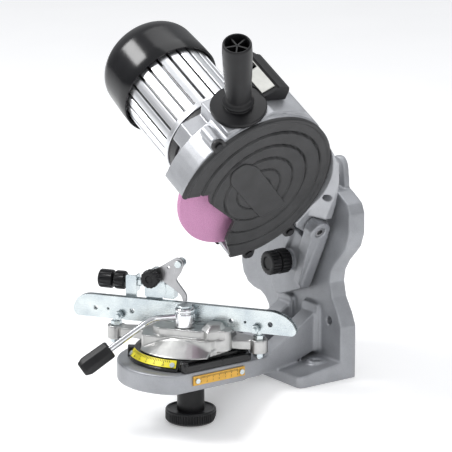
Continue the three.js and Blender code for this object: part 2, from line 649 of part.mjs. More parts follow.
function tiltArm() {
  const face = [
    [-7, -7.5], [0, -10.5], [7, -7.5], [EAR_OUT + 1.5, HEEL_W], [EAR_OUT, 84], [-EAR_OUT, 84],
    [-EAR_OUT - 1.5, HEEL_W],
  ];
  const plate = push(rounded(face, 4, 3).map(flip), 'y', ARM_FRONT_Y, ARM_BACK_Y);
  const ears = [[EAR_IN, EAR_OUT], [-EAR_OUT, -EAR_IN]].map(([low, high]) => join(
    bar('x', [HINGE_Y, HINGE_W], EAR_R, low, high, 28),
    push([[HINGE_Y - 9.5, 84], [94, 60], [ARM_BACK_Y - 1, 56], [ARM_BACK_Y - 1, 86]], 'x', low, high),
  ));
  const flange = push([[94, 62], [99.5, HEEL_W + 4], [105, HEEL_W], [105, 66]], 'x', 20, EAR_OUT);
  const rib = push([[99.5, 64], [99.5, 40], [105, 34], [105, 68]], 'x', -10, -3);
  const boss = bar('y', [DEPTH_U, DEPTH_W], 9.5, 98.6, 104, 24);
  return cut(
    join(plate, ...ears, flange, rib, boss),
    block(-EAR_IN, EAR_IN, 80, 130, 66, 110),
    bar('x', [HINGE_Y, HINGE_W], HINGE_R + 0.2, -40, 40),
    bar('y', [DEPTH_U, DEPTH_W], 3.7, 90, 120, 14),
    bar('y', [0, 0], 4.9, ARM_FRONT_Y + 3, 120, 20),
  );
}

const hingePin = () => cut(
  bar('x', [HINGE_Y, HINGE_W], HINGE_R, -EAR_OUT + 0.5, EAR_OUT - 1),
  hex('x', [HINGE_Y, HINGE_W], 3.2, EAR_OUT - 6, EAR_OUT + 1),
);

const tiltBolt = () => bar('y', [0, 0], 4.6, ARM_FRONT_Y + 3.5, 153, 20);

function tiltClampKnob() {
  const grip = fluted('y', [0, 0], 21, 141, 156, 8);
  return cut(join(grip, bar('y', [0, 0], 11, 135.9, 142, 24)), bar('y', [0, 0], 4.9, 130, 154, 20));
}

const depthScrew = () => bar('y', [DEPTH_U, DEPTH_W], 3.4, 78, 112.5, 14);

function depthKnob() {
  const front = fluted('y', [DEPTH_U, DEPTH_W], 11.6, 75.5, 86, 16);
  const rear = fluted('y', [DEPTH_U, DEPTH_W], 12, 87.2, 98.2, 16);
  const waist = bar('y', [DEPTH_U, DEPTH_W], 10, 85, 88, 24);
  return cut(join(front, rear, waist), bar('y', [DEPTH_U, DEPTH_W], 3.65, 77.6, 100, 14));
}

// The torsion spring round the hinge pin that lifts the head.
function returnSpring() {
  const coil = [];
  const turns = 4;
  const perTurn = 8;
  for (let k = 0; k <= turns * perTurn; k += 1) {
    const turn = (k / perTurn) * Math.PI * 2;
    const a = -EAR_IN + 1.6 + (k / (turns * perTurn)) * 6.2;
    coil.push([a, HINGE_Y + 7.4 * Math.cos(turn), HINGE_W + 7.4 * Math.sin(turn)]);
  }
  return swept(coil, 0.85, 5, turns * 14);
}

piece(armGroup, 'tilt_arm', tiltArm(), castPaint);
piece(armGroup, 'hinge_pin', hingePin(), steel);
piece(armGroup, 'tilt_bolt', tiltBolt(), steel);
piece(armGroup, 'tilt_clamp_knob', tiltClampKnob(), blackPlastic);
piece(armGroup, 'depth_screw', depthScrew(), zinc);
piece(armGroup, 'depth_knob', depthKnob(), blackPlastic);
piece(armGroup, 'return_spring', returnSpring(), steel);

// ---- head: casting and cover -----------------------------------------------------------
const HINGE_B = HINGE_Y - WHEEL_Y;
const HINGE_C = HINGE_W - WHEEL_W;
// the open side of the guard, where the wheel meets the chain
const NOTCH = [[-100, 3.6], [-53, 3.6], [-48, -8], [-12, -35], [-13.5, -58], [-1, -79.5], [0, -100], [-100, -100]];
const HANDLE_DIR = [-Math.sin(HANDLE_LEAN), Math.cos(HANDLE_LEAN)];

// A point in the head's (b, c) plane: out along the handle's line, then across it.
const onHandle = (out, across) => [
  out * HANDLE_DIR[0] + across * HANDLE_DIR[1],
  out * HANDLE_DIR[1] - across * HANDLE_DIR[0],
];

// A lug on the guard's rim that carries a cover screw.
function rimLug(at, radius, low, high) {
  const out = new THREE.Vector2(...at).normalize();
  const side = new THREE.Vector2(-out.y, out.x).multiplyScalar(radius);
  const root = out.clone().multiplyScalar(COVER_R - 3);
  const tip = new THREE.Vector2(...at);
  const web = [root.clone().sub(side), tip.clone().sub(side), tip.clone().add(side), root.clone().add(side)];
  return join(bar('x', at, radius, low, high, 20), push(web.map((p) => p.toArray()), 'x', low, high));
}

function headCasting() {
  const drum = bar('x', [0, 0], COVER_R, DRUM_BACK_A, COVER_BACK_A - GAP, 72);
  const seat = HANDLE_BASE_R - GAP;
  const crown = [
    [-70, 30], [-66, 47], onHandle(seat - 14, -25.5), onHandle(seat, -24.5), onHandle(seat, 24.5),
    [8, 84.5], [32, 81.5], [55, 61], [70, 20],
  ].reverse();
  const cup = bar('x', [0, 0], 43, MOTOR_FRONT_A, DRUM_BACK_A + 2, 48);
  const neck = [
    [66, 40], [60, -40], [66, -56], [78, -64], [HINGE_B, HINGE_C - 10], [HINGE_B + 8, HINGE_C - 6.5],
    [HINGE_B + 10, HINGE_C], [93, -30], [90, -5], [84, 22], [74, 34],
  ];
  const flareSide = [[58, -44], [97.5, -43.8], [95.5, -25], [91, -5], [84, 22], [74, 36], [58, 34]];
  const flarePlan = [[-14, 57], [13, 57], [13, 71], [26.5, 89], [26.5, 99], [-14, 99]];
  const flare = push(flareSide, 'x', -14, 27).intersect(push(flarePlan, 'z', -50, 40));
  const screwBosses = COVER_SCREWS.map((at) => rimLug(at, 6, -8, COVER_BACK_A - GAP));
  const solidHead = join(
    drum, push(crown, 'x', -37, 9), cup, push(neck, 'x', -7.5, EAR_IN - 0.5),
    flare, ...screwBosses,
  );
  return cut(
    solidHead,
    bar('x', [0, 0], 77, -13.5, 30, 64),
    bar('x', [0, 0], COVER_R + 2 * GAP, COVER_BACK_A - GAP, 40, 72),
    ...COVER_SCREWS.map((at) => rimLug(at, 6.6 + 2 * GAP, COVER_BACK_A - GAP, 40)),
    push(NOTCH, 'x', -30, 40),
    bar('x', [0, 0], 38, MOTOR_FRONT_A - 1, -27, 40),
    bar('x', [0, 0], 14.3, -40, -16.8, 28),
    bar('x', [0, 0], 11.2, -40, 0, 24),
    bar('x', [HINGE_B, HINGE_C], HINGE_R + 0.25, -40, 40),
    bar('x', [85, -19], 3.6, 12, 40, 16),
    ...COVER_SCREWS.map((at) => bar('x', at, 2.3, 0, 40, 10)),
  );
}

function guardCover() {
  const disc = bar('x', [0, 0], COVER_R, COVER_BACK_A, COVER_FRONT_A, 80);
  const tabs = COVER_SCREWS.map((at) => rimLug(at, 6.6, COVER_BACK_A, COVER_FRONT_A));
  const panel = rounded([[-41, 43], [-47, 36], [-6, -33], [19, -5], [-26, 42]].reverse(), 7, 4);
  return cut(
    join(disc, ...tabs, push(panel, 'x', COVER_FRONT_A - 0.5, COVER_FRONT_A + 1.2)),
    push(NOTCH, 'x', 0, 40),
    ...COVER_SCREWS.map((at) => bar('x', at, 2.3, 0, 40, 10)),
  );
}

const coverScrew = (at) => join(
  bar('x', at, 3.7, COVER_FRONT_A + GAP, COVER_FRONT_A + 2.6, 16),
  bar('x', at, 1.9, 1, COVER_FRONT_A + 1, 10),
);

piece(headGroup, 'head_casting', headCasting(), castPaint);
piece(headGroup, 'guard_cover', guardCover(), greyPlastic);
['top', 'bottom', 'rear'].forEach((spot, i) => {
  piece(headGroup, `cover_screw_${spot}`, coverScrew(COVER_SCREWS[i]), steel);
});

// ---- head: motor and spindle ---------------------------------------------------------------
function motorShell() {
  const fins = 26;
  const rim = [];
  for (let k = 0; k < fins; k += 1) {
    [[0, 43.4], [0.16, 43.4], [0.24, SHELL_R], [0.92, SHELL_R]].forEach(([part, r]) => {
      const turn = ((k + part) / fins) * Math.PI * 2;
      rim.push([r * Math.cos(turn), r * Math.sin(turn)]);
    });
  }
  const tube = push(rim, 'x', SHELL_BACK_A, SHELL_FRONT_A - 5);
  const ring = bar('x', [0, 0], SHELL_R + 0.6, SHELL_FRONT_A - 6, SHELL_FRONT_A, 48);
  const bearingHouse = bar('x', [0, 0], 17.5, SHELL_BACK_A - 9, SHELL_BACK_A + 1, 28);
  return cut(
    join(tube, ring, bearingHouse),
    bar('x', [0, 0], 40, SHELL_BACK_A + 4, 0, 48),
    bar('x', [0, 0], 14.3, SHELL_BACK_A - 20, SHELL_BACK_A - 0.8, 28),
    bar('x', [0, 0], 9, SHELL_BACK_A - 20, 0, 20),
  );
}

const motorRing = () => cut(
  bar('x', [0, 0], 45, SHELL_FRONT_A + GAP, MOTOR_FRONT_A - GAP, 48),
  bar('x', [0, 0], 38, SHELL_FRONT_A - 1, MOTOR_FRONT_A + 1, 40),
);

// The fan cowl: a straight skirt over the fins, then a domed end.
function motorCap() {
  const skirt = -172;
  const outer = [[49.8, -150]];
  const inner = [];
  const steps = 6;
  for (let k = 0; k <= steps; k += 1) {
    const turn = (k / steps) * (Math.PI / 2);
    const s = Math.sin(turn);
    outer.push([48.6 * Math.cos(turn), skirt + (CAP_BACK_A - skirt) * s]);
    inner.unshift([45.8 * Math.cos(turn), skirt + (CAP_BACK_A + 2.8 - skirt) * s]);
  }
  outer[outer.length - 1][0] = 0;
  inner[0][0] = 0;
  return turned([...inner, [47.2, -150], [47.4, CAP_FRONT_A], [50, CAP_FRONT_A], ...outer].reverse(), 40);
}

const stator = () => cut(
  join(bar('x', [0, 0], 39.6, -132, -84, 40), bar('x', [0, 0], 35, -141, -75, 40)),
  bar('x', [0, 0], 25.4, -160, 0, 36),
);

const rotor = () => cut(
  join(bar('x', [0, 0], 24.8, -130, -86, 36), bar('x', [0, 0], 15, -136, -80, 28)),
  bar('x', [0, 0], SHAFT_R + 0.3, -160, 0, 20),
);

const bearing = (low) => cut(
  bar('x', [0, 0], 14, low, low + 8, 32),
  bar('x', [0, 0], SHAFT_R + 0.3, low - 1, low + 9, 20),
);

const shaft = () => bar('x', [0, 0], SHAFT_R, -178, 10.6, 20);

function coolingFan() {
  const blades = [];
  for (let k = 0; k < 8; k += 1) {
    blades.push(block(-176, -167, 10, 35, -1.2, 1.2).rotate([k * 45, 0, 0]));
  }
  return cut(
    join(bar('x', [0, 0], 12, -177, -166, 24), bar('x', [0, 0], 34, -168.4, -166, 40), ...blades),
    bar('x', [0, 0], SHAFT_R + 0.3, -190, 0, 20),
  );
}

const innerFlange = () => cut(
  join(
    bar('x', [0, 0], 21, -8, -WHEEL_HALF_T - GAP, 32),
    bar('x', [0, 0], 10.6, -16, 1.4, 24),
  ),
  bar('x', [0, 0], SHAFT_R + 0.3, -30, 30, 20),
);

const outerFlange = () => cut(
  bar('x', [0, 0], 21, WHEEL_HALF_T + GAP, 5.4, 32),
  bar('x', [0, 0], SHAFT_R + 0.3, -30, 30, 20),
);

const arborNut = () => cut(
  hex('x', [0, 0], 10.2, 5.7, 11),
  bar('x', [0, 0], SHAFT_R + 0.3, -30, 30, 20),
);

const grindingWheel = () => cut(
  bar('x', [0, 0], WHEEL_R, -WHEEL_HALF_T, WHEEL_HALF_T, 72),
  bar('x', [0, 0], 11.1, -10, 10, 24),
);

piece(headGroup, 'motor_shell', motorShell(), finAluminium);
piece(headGroup, 'motor_ring', motorRing(), greyPlastic);
piece(headGroup, 'motor_cap', motorCap(), glossBlack);
piece(headGroup, 'stator', stator(), copper);
piece(headGroup, 'rotor', rotor(), steel);
piece(headGroup, 'bearing_front', bearing(-25.2), steel);
piece(headGroup, 'bearing_rear', bearing(SHELL_BACK_A - 9.2), steel);
piece(headGroup, 'spindle_shaft', shaft(), steel);
piece(headGroup, 'cooling_fan', coolingFan(), blackPlastic);
piece(headGroup, 'wheel_flange_inner', innerFlange(), steel);
piece(headGroup, 'wheel_flange_outer', outerFlange(), steel);
piece(headGroup, 'arbor_nut', arborNut(), steel);
piece(headGroup, 'grinding_wheel', grindingWheel(), abrasive);

// ---- head: handle, switch and lamp -----------------------------------------------------------
// Turns a solid that stands along +X to stand on the head along the handle's line.
function onHandleSeat(body) {
  const upright = new THREE.Matrix4().makeBasis(
    new THREE.Vector3(0, ...HANDLE_DIR),
    AXES.x.clone().negate(),
    new THREE.Vector3(0, -HANDLE_DIR[1], HANDLE_DIR[0]),
  );
  upright.setPosition(HANDLE_A, ...onHandle(HANDLE_BASE_R, 0));
  return body.transform(upright.elements);
}

function handle() {
  const profile = [
    [0, 0], [25.2, 0], [25.8, 1.5], [25.8, 4.4], [12.6, 5.4], [12, 7], [14.2, 8.4], [14.2, 11], [11.6, 13.5],
    [11.8, 25], [13, 50], [13.6, 72], [13, 80], [11.2, 81.6], [0, 81.6],
  ];
  const spokes = [];
  for (let k = 0; k < 5; k += 1) {
    spokes.push(block(56, 79, 0, 11.6, -0.7, 0.7).rotate([k * 72, 0, 0]));
  }
  const hollow = cut(turned(profile, 28), bar('x', [0, 0], 11, 56, 90, 24));
  return onHandleSeat(join(hollow, ...spokes));
}

// the switch panel faces the operator and up; these points run along it
const PANEL_LOW = [-6.4, 91];
const PANEL_HIGH = [5.3, 97.7];
const PANEL_OUT = new THREE.Vector2(PANEL_LOW[1] - PANEL_HIGH[1], PANEL_HIGH[0] - PANEL_LOW[0]).normalize();
const onPanel = (t, lift) => [
  PANEL_LOW[0] + (PANEL_HIGH[0] - PANEL_LOW[0]) * t + PANEL_OUT.x * lift,
  PANEL_LOW[1] + (PANEL_HIGH[1] - PANEL_LOW[1]) * t + PANEL_OUT.y * lift,
];
const ROCKER_A = [-54, -42];

function switchBox() {
  const section = [
    onPanel(-0.25, 0), onPanel(1.06, 0), onPanel(1.18, 1.6), [14.8, 99.2], [18.4, 98], [19.6, 94], [18.6, 84.4],
    [8, 85.2], [-3.5, 86.3],
  ];
  const wide = push(section.slice().reverse(), 'x', SWITCH_BACK_A, SWITCH_FRONT_A);
  const well = push(
    [onPanel(0.08, -6.5), onPanel(0.92, -6.5), onPanel(0.92, 4), onPanel(0.08, 4)].reverse(),
    'x', ROCKER_A[0] - 0.6, ROCKER_A[1] + 0.6,
  );
  const inlet = bar('x', GLAND, 4.6, SWITCH_BACK_A - 1, SWITCH_BACK_A + 8, 16);
  return cut(wide, well, inlet, onHandleSeat(bar('x', [0, 0], 26.3, -4, 5, 48)));
}

const switchPanel = () => cut(
  push(
    [onPanel(0, GAP), onPanel(1, GAP), onPanel(1, 1.2), onPanel(0, 1.2)].reverse(),
    'x', -55.5, -12,
  ),
  push(
    [onPanel(0.06, -1), onPanel(0.94, -1), onPanel(0.94, 3), onPanel(0.06, 3)].reverse(),
    'x', ROCKER_A[0] - 0.8, ROCKER_A[1] + 0.8,
  ),
  onHandleSeat(bar('x', [0, 0], 26.3, -4, 5, 48)),
);

// The rocker's face is two shallow slopes that meet over its pivot.
function switchRocker() {
  const middle = (ROCKER_A[0] + ROCKER_A[1]) / 2;
  const side = [
    [ROCKER_A[0], 0.4], [middle, 1.4], [ROCKER_A[1], 3.4], [middle + 4, -3.6], [middle - 4, -3.6],
  ].reverse();
  const shape = new THREE.ExtrudeGeometry(outline(side), { depth: 8.6, bevelEnabled: false });
  const across = new THREE.Vector3(0, PANEL_OUT.y, -PANEL_OUT.x);
  const place = new THREE.Matrix4().makeBasis(AXES.x, new THREE.Vector3(0, PANEL_OUT.x, PANEL_OUT.y), across.negate());
  const [b, c] = onPanel(0.5, 0);
  const start = across.clone().multiplyScalar(-4.3);
  place.setPosition(start.x, b + start.y, c + start.z);
  shape.applyMatrix4(place);
  return solid(shape);
}

const cableGland = () => cut(
  join(
    hex('x', GLAND, 8.4, SWITCH_BACK_A - 4.5, SWITCH_BACK_A - GAP),
    bar('x', GLAND, 6.4, SWITCH_BACK_A - 13, SWITCH_BACK_A - 4, 20),
    bar('x', GLAND, 4.3, SWITCH_BACK_A - 1, SWITCH_BACK_A + 7, 16),
  ),
  bar('x', GLAND, 2.9, SWITCH_BACK_A - 20, SWITCH_BACK_A + 20, 14),
);

const workLamp = () => join(
  push(rounded([[8, -96], [25, -96], [29, -83], [26, -69], [12, -69]], 4, 3), 'x', -34, -18.4),
  bar('x', [18, -88], 5, -38, -33, 20),
);

piece(headGroup, 'handle', handle(), blackPlastic);
piece(headGroup, 'switch_box', switchBox(), blackPlastic);
piece(headGroup, 'switch_panel', switchPanel(), paleLabel);
piece(headGroup, 'switch_rocker', switchRocker(), glossBlack);
piece(headGroup, 'cable_gland', cableGland(), blackPlastic);
piece(headGroup, 'work_lamp', workLamp(), blackPlastic);

export default group;
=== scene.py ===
"""Looks for the saw-chain bench grinder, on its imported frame.

Rounded castings, plated steel, mouldings and scales. Lengths are in millimetres in the local
frames below and in metres elsewhere.
"""
import json
import math

import bmesh
import bpy
from mathutils import Matrix, Vector


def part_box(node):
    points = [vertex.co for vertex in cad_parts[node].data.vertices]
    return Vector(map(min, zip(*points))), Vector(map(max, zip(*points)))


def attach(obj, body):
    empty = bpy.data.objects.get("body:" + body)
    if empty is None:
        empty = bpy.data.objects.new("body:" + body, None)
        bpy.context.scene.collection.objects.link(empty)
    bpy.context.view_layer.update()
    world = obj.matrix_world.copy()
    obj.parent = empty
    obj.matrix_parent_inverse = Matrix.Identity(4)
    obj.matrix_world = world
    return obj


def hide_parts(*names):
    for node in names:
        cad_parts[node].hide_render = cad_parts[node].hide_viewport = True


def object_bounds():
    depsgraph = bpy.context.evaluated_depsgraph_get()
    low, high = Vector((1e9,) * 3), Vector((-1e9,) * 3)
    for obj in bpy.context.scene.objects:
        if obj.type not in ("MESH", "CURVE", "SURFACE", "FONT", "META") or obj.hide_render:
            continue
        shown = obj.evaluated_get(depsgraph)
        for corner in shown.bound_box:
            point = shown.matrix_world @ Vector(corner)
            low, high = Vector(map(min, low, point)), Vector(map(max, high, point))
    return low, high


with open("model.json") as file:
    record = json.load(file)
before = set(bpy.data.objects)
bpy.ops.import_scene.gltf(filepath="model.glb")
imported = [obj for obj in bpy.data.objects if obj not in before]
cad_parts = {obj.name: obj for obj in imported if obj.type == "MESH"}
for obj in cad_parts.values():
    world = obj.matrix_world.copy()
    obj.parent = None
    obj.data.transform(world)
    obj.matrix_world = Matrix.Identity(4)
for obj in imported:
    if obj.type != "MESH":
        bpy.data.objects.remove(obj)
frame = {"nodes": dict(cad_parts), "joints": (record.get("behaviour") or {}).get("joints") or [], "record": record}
CAD_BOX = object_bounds()
MM = 0.001
TAU = 2 * math.pi
NODES = frame["nodes"]
RECORD = frame["record"]
JOINTS = {j["name"]: j for j in frame["joints"]}
SLOT_OF = {row["node"]: row["material_slot"] for row in RECORD["subparts"]}
BODY_OF = {n: body for body, members in RECORD["behaviour"]["bodies"].items() for n in members}
SCENE = bpy.context.scene
MIX_AMOUNT, MIX_A, MIX_B, MIX_RESULT = 0, 6, 7, 2  # a colour Mix node's sockets

# ---- camera, at the photographed viewing angle ------------------------------------------
CAMERA_AT = (2.0616, -1.5530, 0.7901)
CAMERA_TURN = (math.radians(75.8), 0, math.radians(54.1))
LENS = 221.5
SENSOR = 36

cam_data = bpy.data.cameras.new("camera")
cam_data.lens = LENS
cam_data.sensor_width = SENSOR
cam_data.clip_end = 20
camera = bpy.data.objects.new("camera", cam_data)
camera.location = CAMERA_AT
camera.rotation_euler = CAMERA_TURN
SCENE.collection.objects.link(camera)
SCENE.camera = camera


# ---- local frames, from the record's joints ---------------------------------------------
def basis(origin, x_axis, y_axis):
    """Matrix of a local frame in millimetres, whose z axis is x cross y."""
    x_axis, y_axis = Vector(x_axis).normalized(), Vector(y_axis).normalized()
    z_axis = x_axis.cross(y_axis)
    made = Matrix((x_axis, y_axis, z_axis)).transposed().to_4x4()
    made.translation = Vector(origin)
    return made @ Matrix.Scale(MM, 4)


SPIN = JOINTS["spindle_spin"]
SWING = JOINTS["vise_swing"]
TILT = JOINTS["head_tilt"]
HEAD = basis(SPIN["pos_m"], SPIN["axis"], (0, 1, 0))
ARM = basis((TILT["pos_m"][0], SWING["pos_m"][1], TILT["pos_m"][2]), SPIN["axis"], (0, 1, 0))
VISE_FOOT = (*SWING["pos_m"][:2], 0)
VISE = basis(VISE_FOOT, JOINTS["stop_carriage_feed"]["axis"], JOINTS["front_rail_squeeze"]["axis"])
TABLE = basis(VISE_FOOT, (1, 0, 0), (0, 1, 0))
WORLD = Matrix.Scale(MM, 4)


# ---- materials --------------------------------------------------------------------------
class Nodes:
    """A small builder for one material's node tree."""

    def __init__(self, name, rough, metallic):
        self.material = bpy.data.materials.new(name)
        self.material.use_nodes = True
        self.tree = self.material.node_tree
        self.tree.nodes.clear()
        self.shader = self.add("ShaderNodeBsdfPrincipled", Metallic=metallic, Roughness=rough)
        out = self.add("ShaderNodeOutputMaterial")
        self.link(self.shader, "BSDF", out, "Surface")
        self.coords = self.add("ShaderNodeTexCoord")

    def add(self, kind, **values):
        node = self.tree.nodes.new(kind)
        for key, value in values.items():
            key = key.replace("_", " ")
            if key in node.inputs:
                node.inputs[key].default_value = value
        return node

    def link(self, source, output, target, socket):
        self.tree.links.new(source.outputs[output], target.inputs[socket])

    def noise(self, scale, detail=3.0, rough=0.55, stretch=(1, 1, 1)):
        mapping = self.add("ShaderNodeMapping", Scale=stretch)
        texture = self.add("ShaderNodeTexNoise", Scale=scale, Detail=detail, Roughness=rough)
        self.link(self.coords, "Object", mapping, "Vector")
        self.link(mapping, "Vector", texture, "Vector")
        return texture

    def ramp(self, source, output, stops):
        ramp = self.add("ShaderNodeValToRGB")
        self.link(source, output, ramp, "Fac")
        for i, (place, value) in enumerate(stops):
            element = ramp.color_ramp.elements[i] if i < 2 else ramp.color_ramp.elements.new(place)
            element.position = place
            element.color = (*value, 1)
        return ramp

    def colour_from(self, ramp):
        self.link(ramp, "Color", self.shader, "Base Color")

    def colour_mixed(self, blend, first, second, amount):
        """Blends two ramps into the base colour."""
        mix = self.tree.nodes.new("ShaderNodeMix")
        mix.data_type = "RGBA"
        mix.blend_type = blend
        mix.inputs[MIX_AMOUNT].default_value = amount
        self.link(first, "Color", mix, MIX_A)
        self.link(second, "Color", mix, MIX_B)
        self.link(mix, MIX_RESULT, self.shader, "Base Color")

    def bump(self, *sources):
        """sources are (node, output, strength, distance), chained into the shader's normal."""
        last = None
        for node, output, strength, distance in sources:
            bump = self.add("ShaderNodeBump", Strength=strength, Distance=distance)
            self.link(node, output, bump, "Height")
            if last:
                self.link(last, "Normal", bump, "Normal")
            last = bump
        self.link(last, "Normal", self.shader, "Normal")

    def rough_from(self, source, output, low, high):
        span = self.add("ShaderNodeMapRange")
        span.inputs["To Min"].default_value = low
        span.inputs["To Max"].default_value = high
        self.link(source, output, span, "Value")
        self.link(span, "Result", self.shader, "Roughness")


def shade(colour, factor):
    return tuple(min(1.0, c * factor) for c in colour)


def cast_paint(name, colour, rough):
    """Blasted and lacquered die casting: fine sand grain over soft cloudy tone."""
    grain = 0.12
    m = Nodes(name, rough, 0.55)
    cloud = m.noise(38, 4)
    fine = m.noise(1500, 2, 0.6)
    tone = m.ramp(cloud, "Fac", [(0.3, shade(colour, 0.86)), (0.72, shade(colour, 1.1))])
    speck = m.ramp(fine, "Fac", [(0.35, (0.82, 0.82, 0.83)), (0.65, (1, 1, 1))])
    m.colour_mixed("MULTIPLY", tone, speck, 0.7)
    m.rough_from(cloud, "Fac", rough - 0.06, rough + 0.1)
    m.bump((fine, "Fac", grain, 0.0006), (m.noise(260, 2), "Fac", grain * 0.6, 0.0008))
    return m.material


def plated(name, colour, rough, stretch=(1, 1, 1), tint=None, scratch=0.1):
    """Plated or bare metal; its streaks run along the axes that stretch scales least."""
    m = Nodes(name, rough, 1.0)
    cloud = m.noise(55, 3)
    streak = m.noise(700, 4, 0.6, stretch)
    tone = m.ramp(cloud, "Fac", [(0.3, shade(colour, 0.82)), (0.7, tint or shade(colour, 1.12))])
    line = m.ramp(streak, "Fac", [(0.3, (0.84, 0.84, 0.84)), (0.7, (1, 1, 1))])
    m.colour_mixed("MULTIPLY", tone, line, 0.6)
    m.rough_from(streak, "Fac", rough * 0.8, rough * 1.35)
    m.bump((streak, "Fac", scratch, 0.0003))
    return m.material


def moulding(name, colour, rough, grain=0.2, scale=2400, shine=0.32):
    """Moulded plastic: a fine spark-eroded grain and slight tone change."""
    m = Nodes(name, rough, 0.0)
    m.shader.inputs["Specular IOR Level"].default_value = shine
    cloud = m.noise(60, 3)
    fine = m.noise(scale, 2, 0.5)
    tone = m.ramp(cloud, "Fac", [(0.3, shade(colour, 0.8)), (0.75, shade(colour, 1.25))])
    m.colour_from(tone)
    m.rough_from(cloud, "Fac", rough - 0.05, rough + 0.08)
    m.bump((fine, "Fac", grain, 0.0003), (m.noise(130, 2), "Fac", grain * 0.3, 0.0006))
    return m.material


def abrasive(name, colour):
    """Bonded grit: pale and dark grains set in a pink matrix."""
    m = Nodes(name, 0.85, 0.0)
    cell = m.add("ShaderNodeTexVoronoi", Scale=1500)
    m.link(m.coords, "Object", cell, "Vector")
    fine = m.noise(2600, 3, 0.7)
    tone = m.ramp(cell, "Distance", [(0.0, shade(colour, 1.18)), (0.75, shade(colour, 0.8))])
    pale_grain = (0.95, 0.72, 0.88)
    grit = m.ramp(fine, "Fac", [(0.33, shade(colour, 0.72)), (0.5, colour), (0.68, pale_grain)])
    m.colour_mixed("MIX", tone, grit, 0.5)
    m.bump((cell, "Distance", 0.6, 0.0008), (fine, "Fac", 0.5, 0.0006))
    return m.material


def printed(name, colour, rough, metallic):
    """Ink or paint on a thin plate: a faint cloud and a very slight tooth."""
    m = Nodes(name, rough, metallic)
    cloud = m.noise(90, 3)
    tone = m.ramp(cloud, "Fac", [(0.3, shade(colour, 0.88)), (0.7, shade(colour, 1.08))])
    m.colour_from(tone)
    m.bump((m.noise(900, 2), "Fac", 0.06, 0.0003))
    return m.material


def copper_stack(name):
    """Varnished copper wire, turn beside turn."""
    m = Nodes(name, 0.35, 0.9)
    wave = m.add("ShaderNodeTexWave", Scale=420, Distortion=1.5)
    m.link(m.coords, "Object", wave, "Vector")
    tone = m.ramp(wave, "Fac", [(0.2, (0.16, 0.06, 0.02)), (0.8, (0.62, 0.26, 0.1))])
    m.colour_from(tone)
    m.bump((wave, "Fac", 0.5, 0.0006))
    return m.material


MATERIALS = {
    "cast_silver": cast_paint("cast_silver", (0.40, 0.41, 0.43), 0.42),
    "head_silver": cast_paint("head_silver", (0.50, 0.51, 0.53), 0.36),
    "machined": plated("machined", (0.56, 0.56, 0.55), 0.33, (1, 1, 14)),
    "zinc": plated("zinc", (0.66, 0.74, 0.78), 0.25, (0.08, 0.08, 1), (0.76, 0.82, 0.82), 0.04),
    "steel": plated("steel", (0.46, 0.46, 0.47), 0.28, (1, 1, 0.1)),
    "chrome": plated("chrome", (0.82, 0.83, 0.85), 0.09, scratch=0.02),
    "black_plastic": moulding("black_plastic", (0.012, 0.012, 0.013), 0.34, 0.15),
    "grey_plastic": moulding("grey_plastic", (0.040, 0.040, 0.041), 0.36, 0.22),
    "gloss_black": moulding("gloss_black", (0.006, 0.006, 0.007), 0.17, 0.04, 1200, 0.42),
    "fins": plated("fins", (0.86, 0.87, 0.89), 0.30, (0.1, 1, 1)),
    "winding": copper_stack("winding"),
    "abrasive": abrasive("abrasive", (0.72, 0.32, 0.56)),
    "orange_scale": printed("orange_scale", (0.74, 0.42, 0.07), 0.35, 0.35),
    "yellow_scale": printed("yellow_scale", (0.83, 0.72, 0.02), 0.35, 0.1),
    "pale_label": printed("pale_label", (0.66, 0.66, 0.62), 0.4, 0.0),
}
BLACKENED = plated("blackened", (0.05, 0.05, 0.052), 0.35, scratch=0.05)
SATIN_BLACK = moulding("satin_black", (0.008, 0.008, 0.009), 0.2, 0.06, 1500, 0.5)
INK = moulding("ink", (0.02, 0.02, 0.02), 0.5, 0.05)
BLUE = printed("blue_spot", (0.03, 0.20, 0.52), 0.3, 0.0)
WHITE = printed("white_print", (0.85, 0.86, 0.88), 0.35, 0.0)


# ---- making and placing pieces ----------------------------------------------------------
SMOOTH_ANGLE = 38
EDGE_ANGLE = math.radians(30)
FLAT_ANGLE = math.radians(0.6)
WELD = 2e-6
ON_AXIS = 1e-6
RIB_WAVE = (0, 0, 1, 1, 1, 0)  # one rib's share of its depth, side by side


def place(name, mesh, body, slot, material=None, node=None, matrix=None, local=False):
    """Puts a mesh through the matrix, or with local puts its object there, and rides it."""
    piece = bpy.data.objects.new(name, mesh)
    SCENE.collection.objects.link(piece)
    if local:
        piece.matrix_world = matrix
    elif matrix is not None:
        mesh.transform(matrix)
    mesh.materials.clear()
    mesh.materials.append(material or MATERIALS[slot])
    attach(piece, body)
    if node:
        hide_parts(node)
    return piece


def smooth(mesh, angle=SMOOTH_ANGLE):
    mesh.shade_smooth()
    mesh.set_sharp_from_angle(angle=math.radians(angle))


def to_mesh(bm, name):
    bmesh.ops.recalc_face_normals(bm, faces=bm.faces)
    mesh = bpy.data.meshes.new(name)
    bm.to_mesh(mesh)
    bm.free()
    return mesh


def welded(node):
    """The node's triangles with their shared corners joined."""
    bm = bmesh.new()
    bm.from_mesh(NODES[node].data)
    bmesh.ops.remove_doubles(bm, verts=bm.verts, dist=WELD)
    return bm


def bevelled(piece, width, segments=3, miter="MITER_SHARP"):
    """Breaks the piece's edges over a width in millimetres and weights its normals."""
    bevel = piece.modifiers.new("edges", "BEVEL")
    bevel.width = width * MM
    bevel.segments = segments
    bevel.limit_method = "ANGLE"
    bevel.angle_limit = EDGE_ANGLE
    bevel.miter_outer = miter
    weighted = piece.modifiers.new("normals", "WEIGHTED_NORMAL")
    weighted.keep_sharp = True


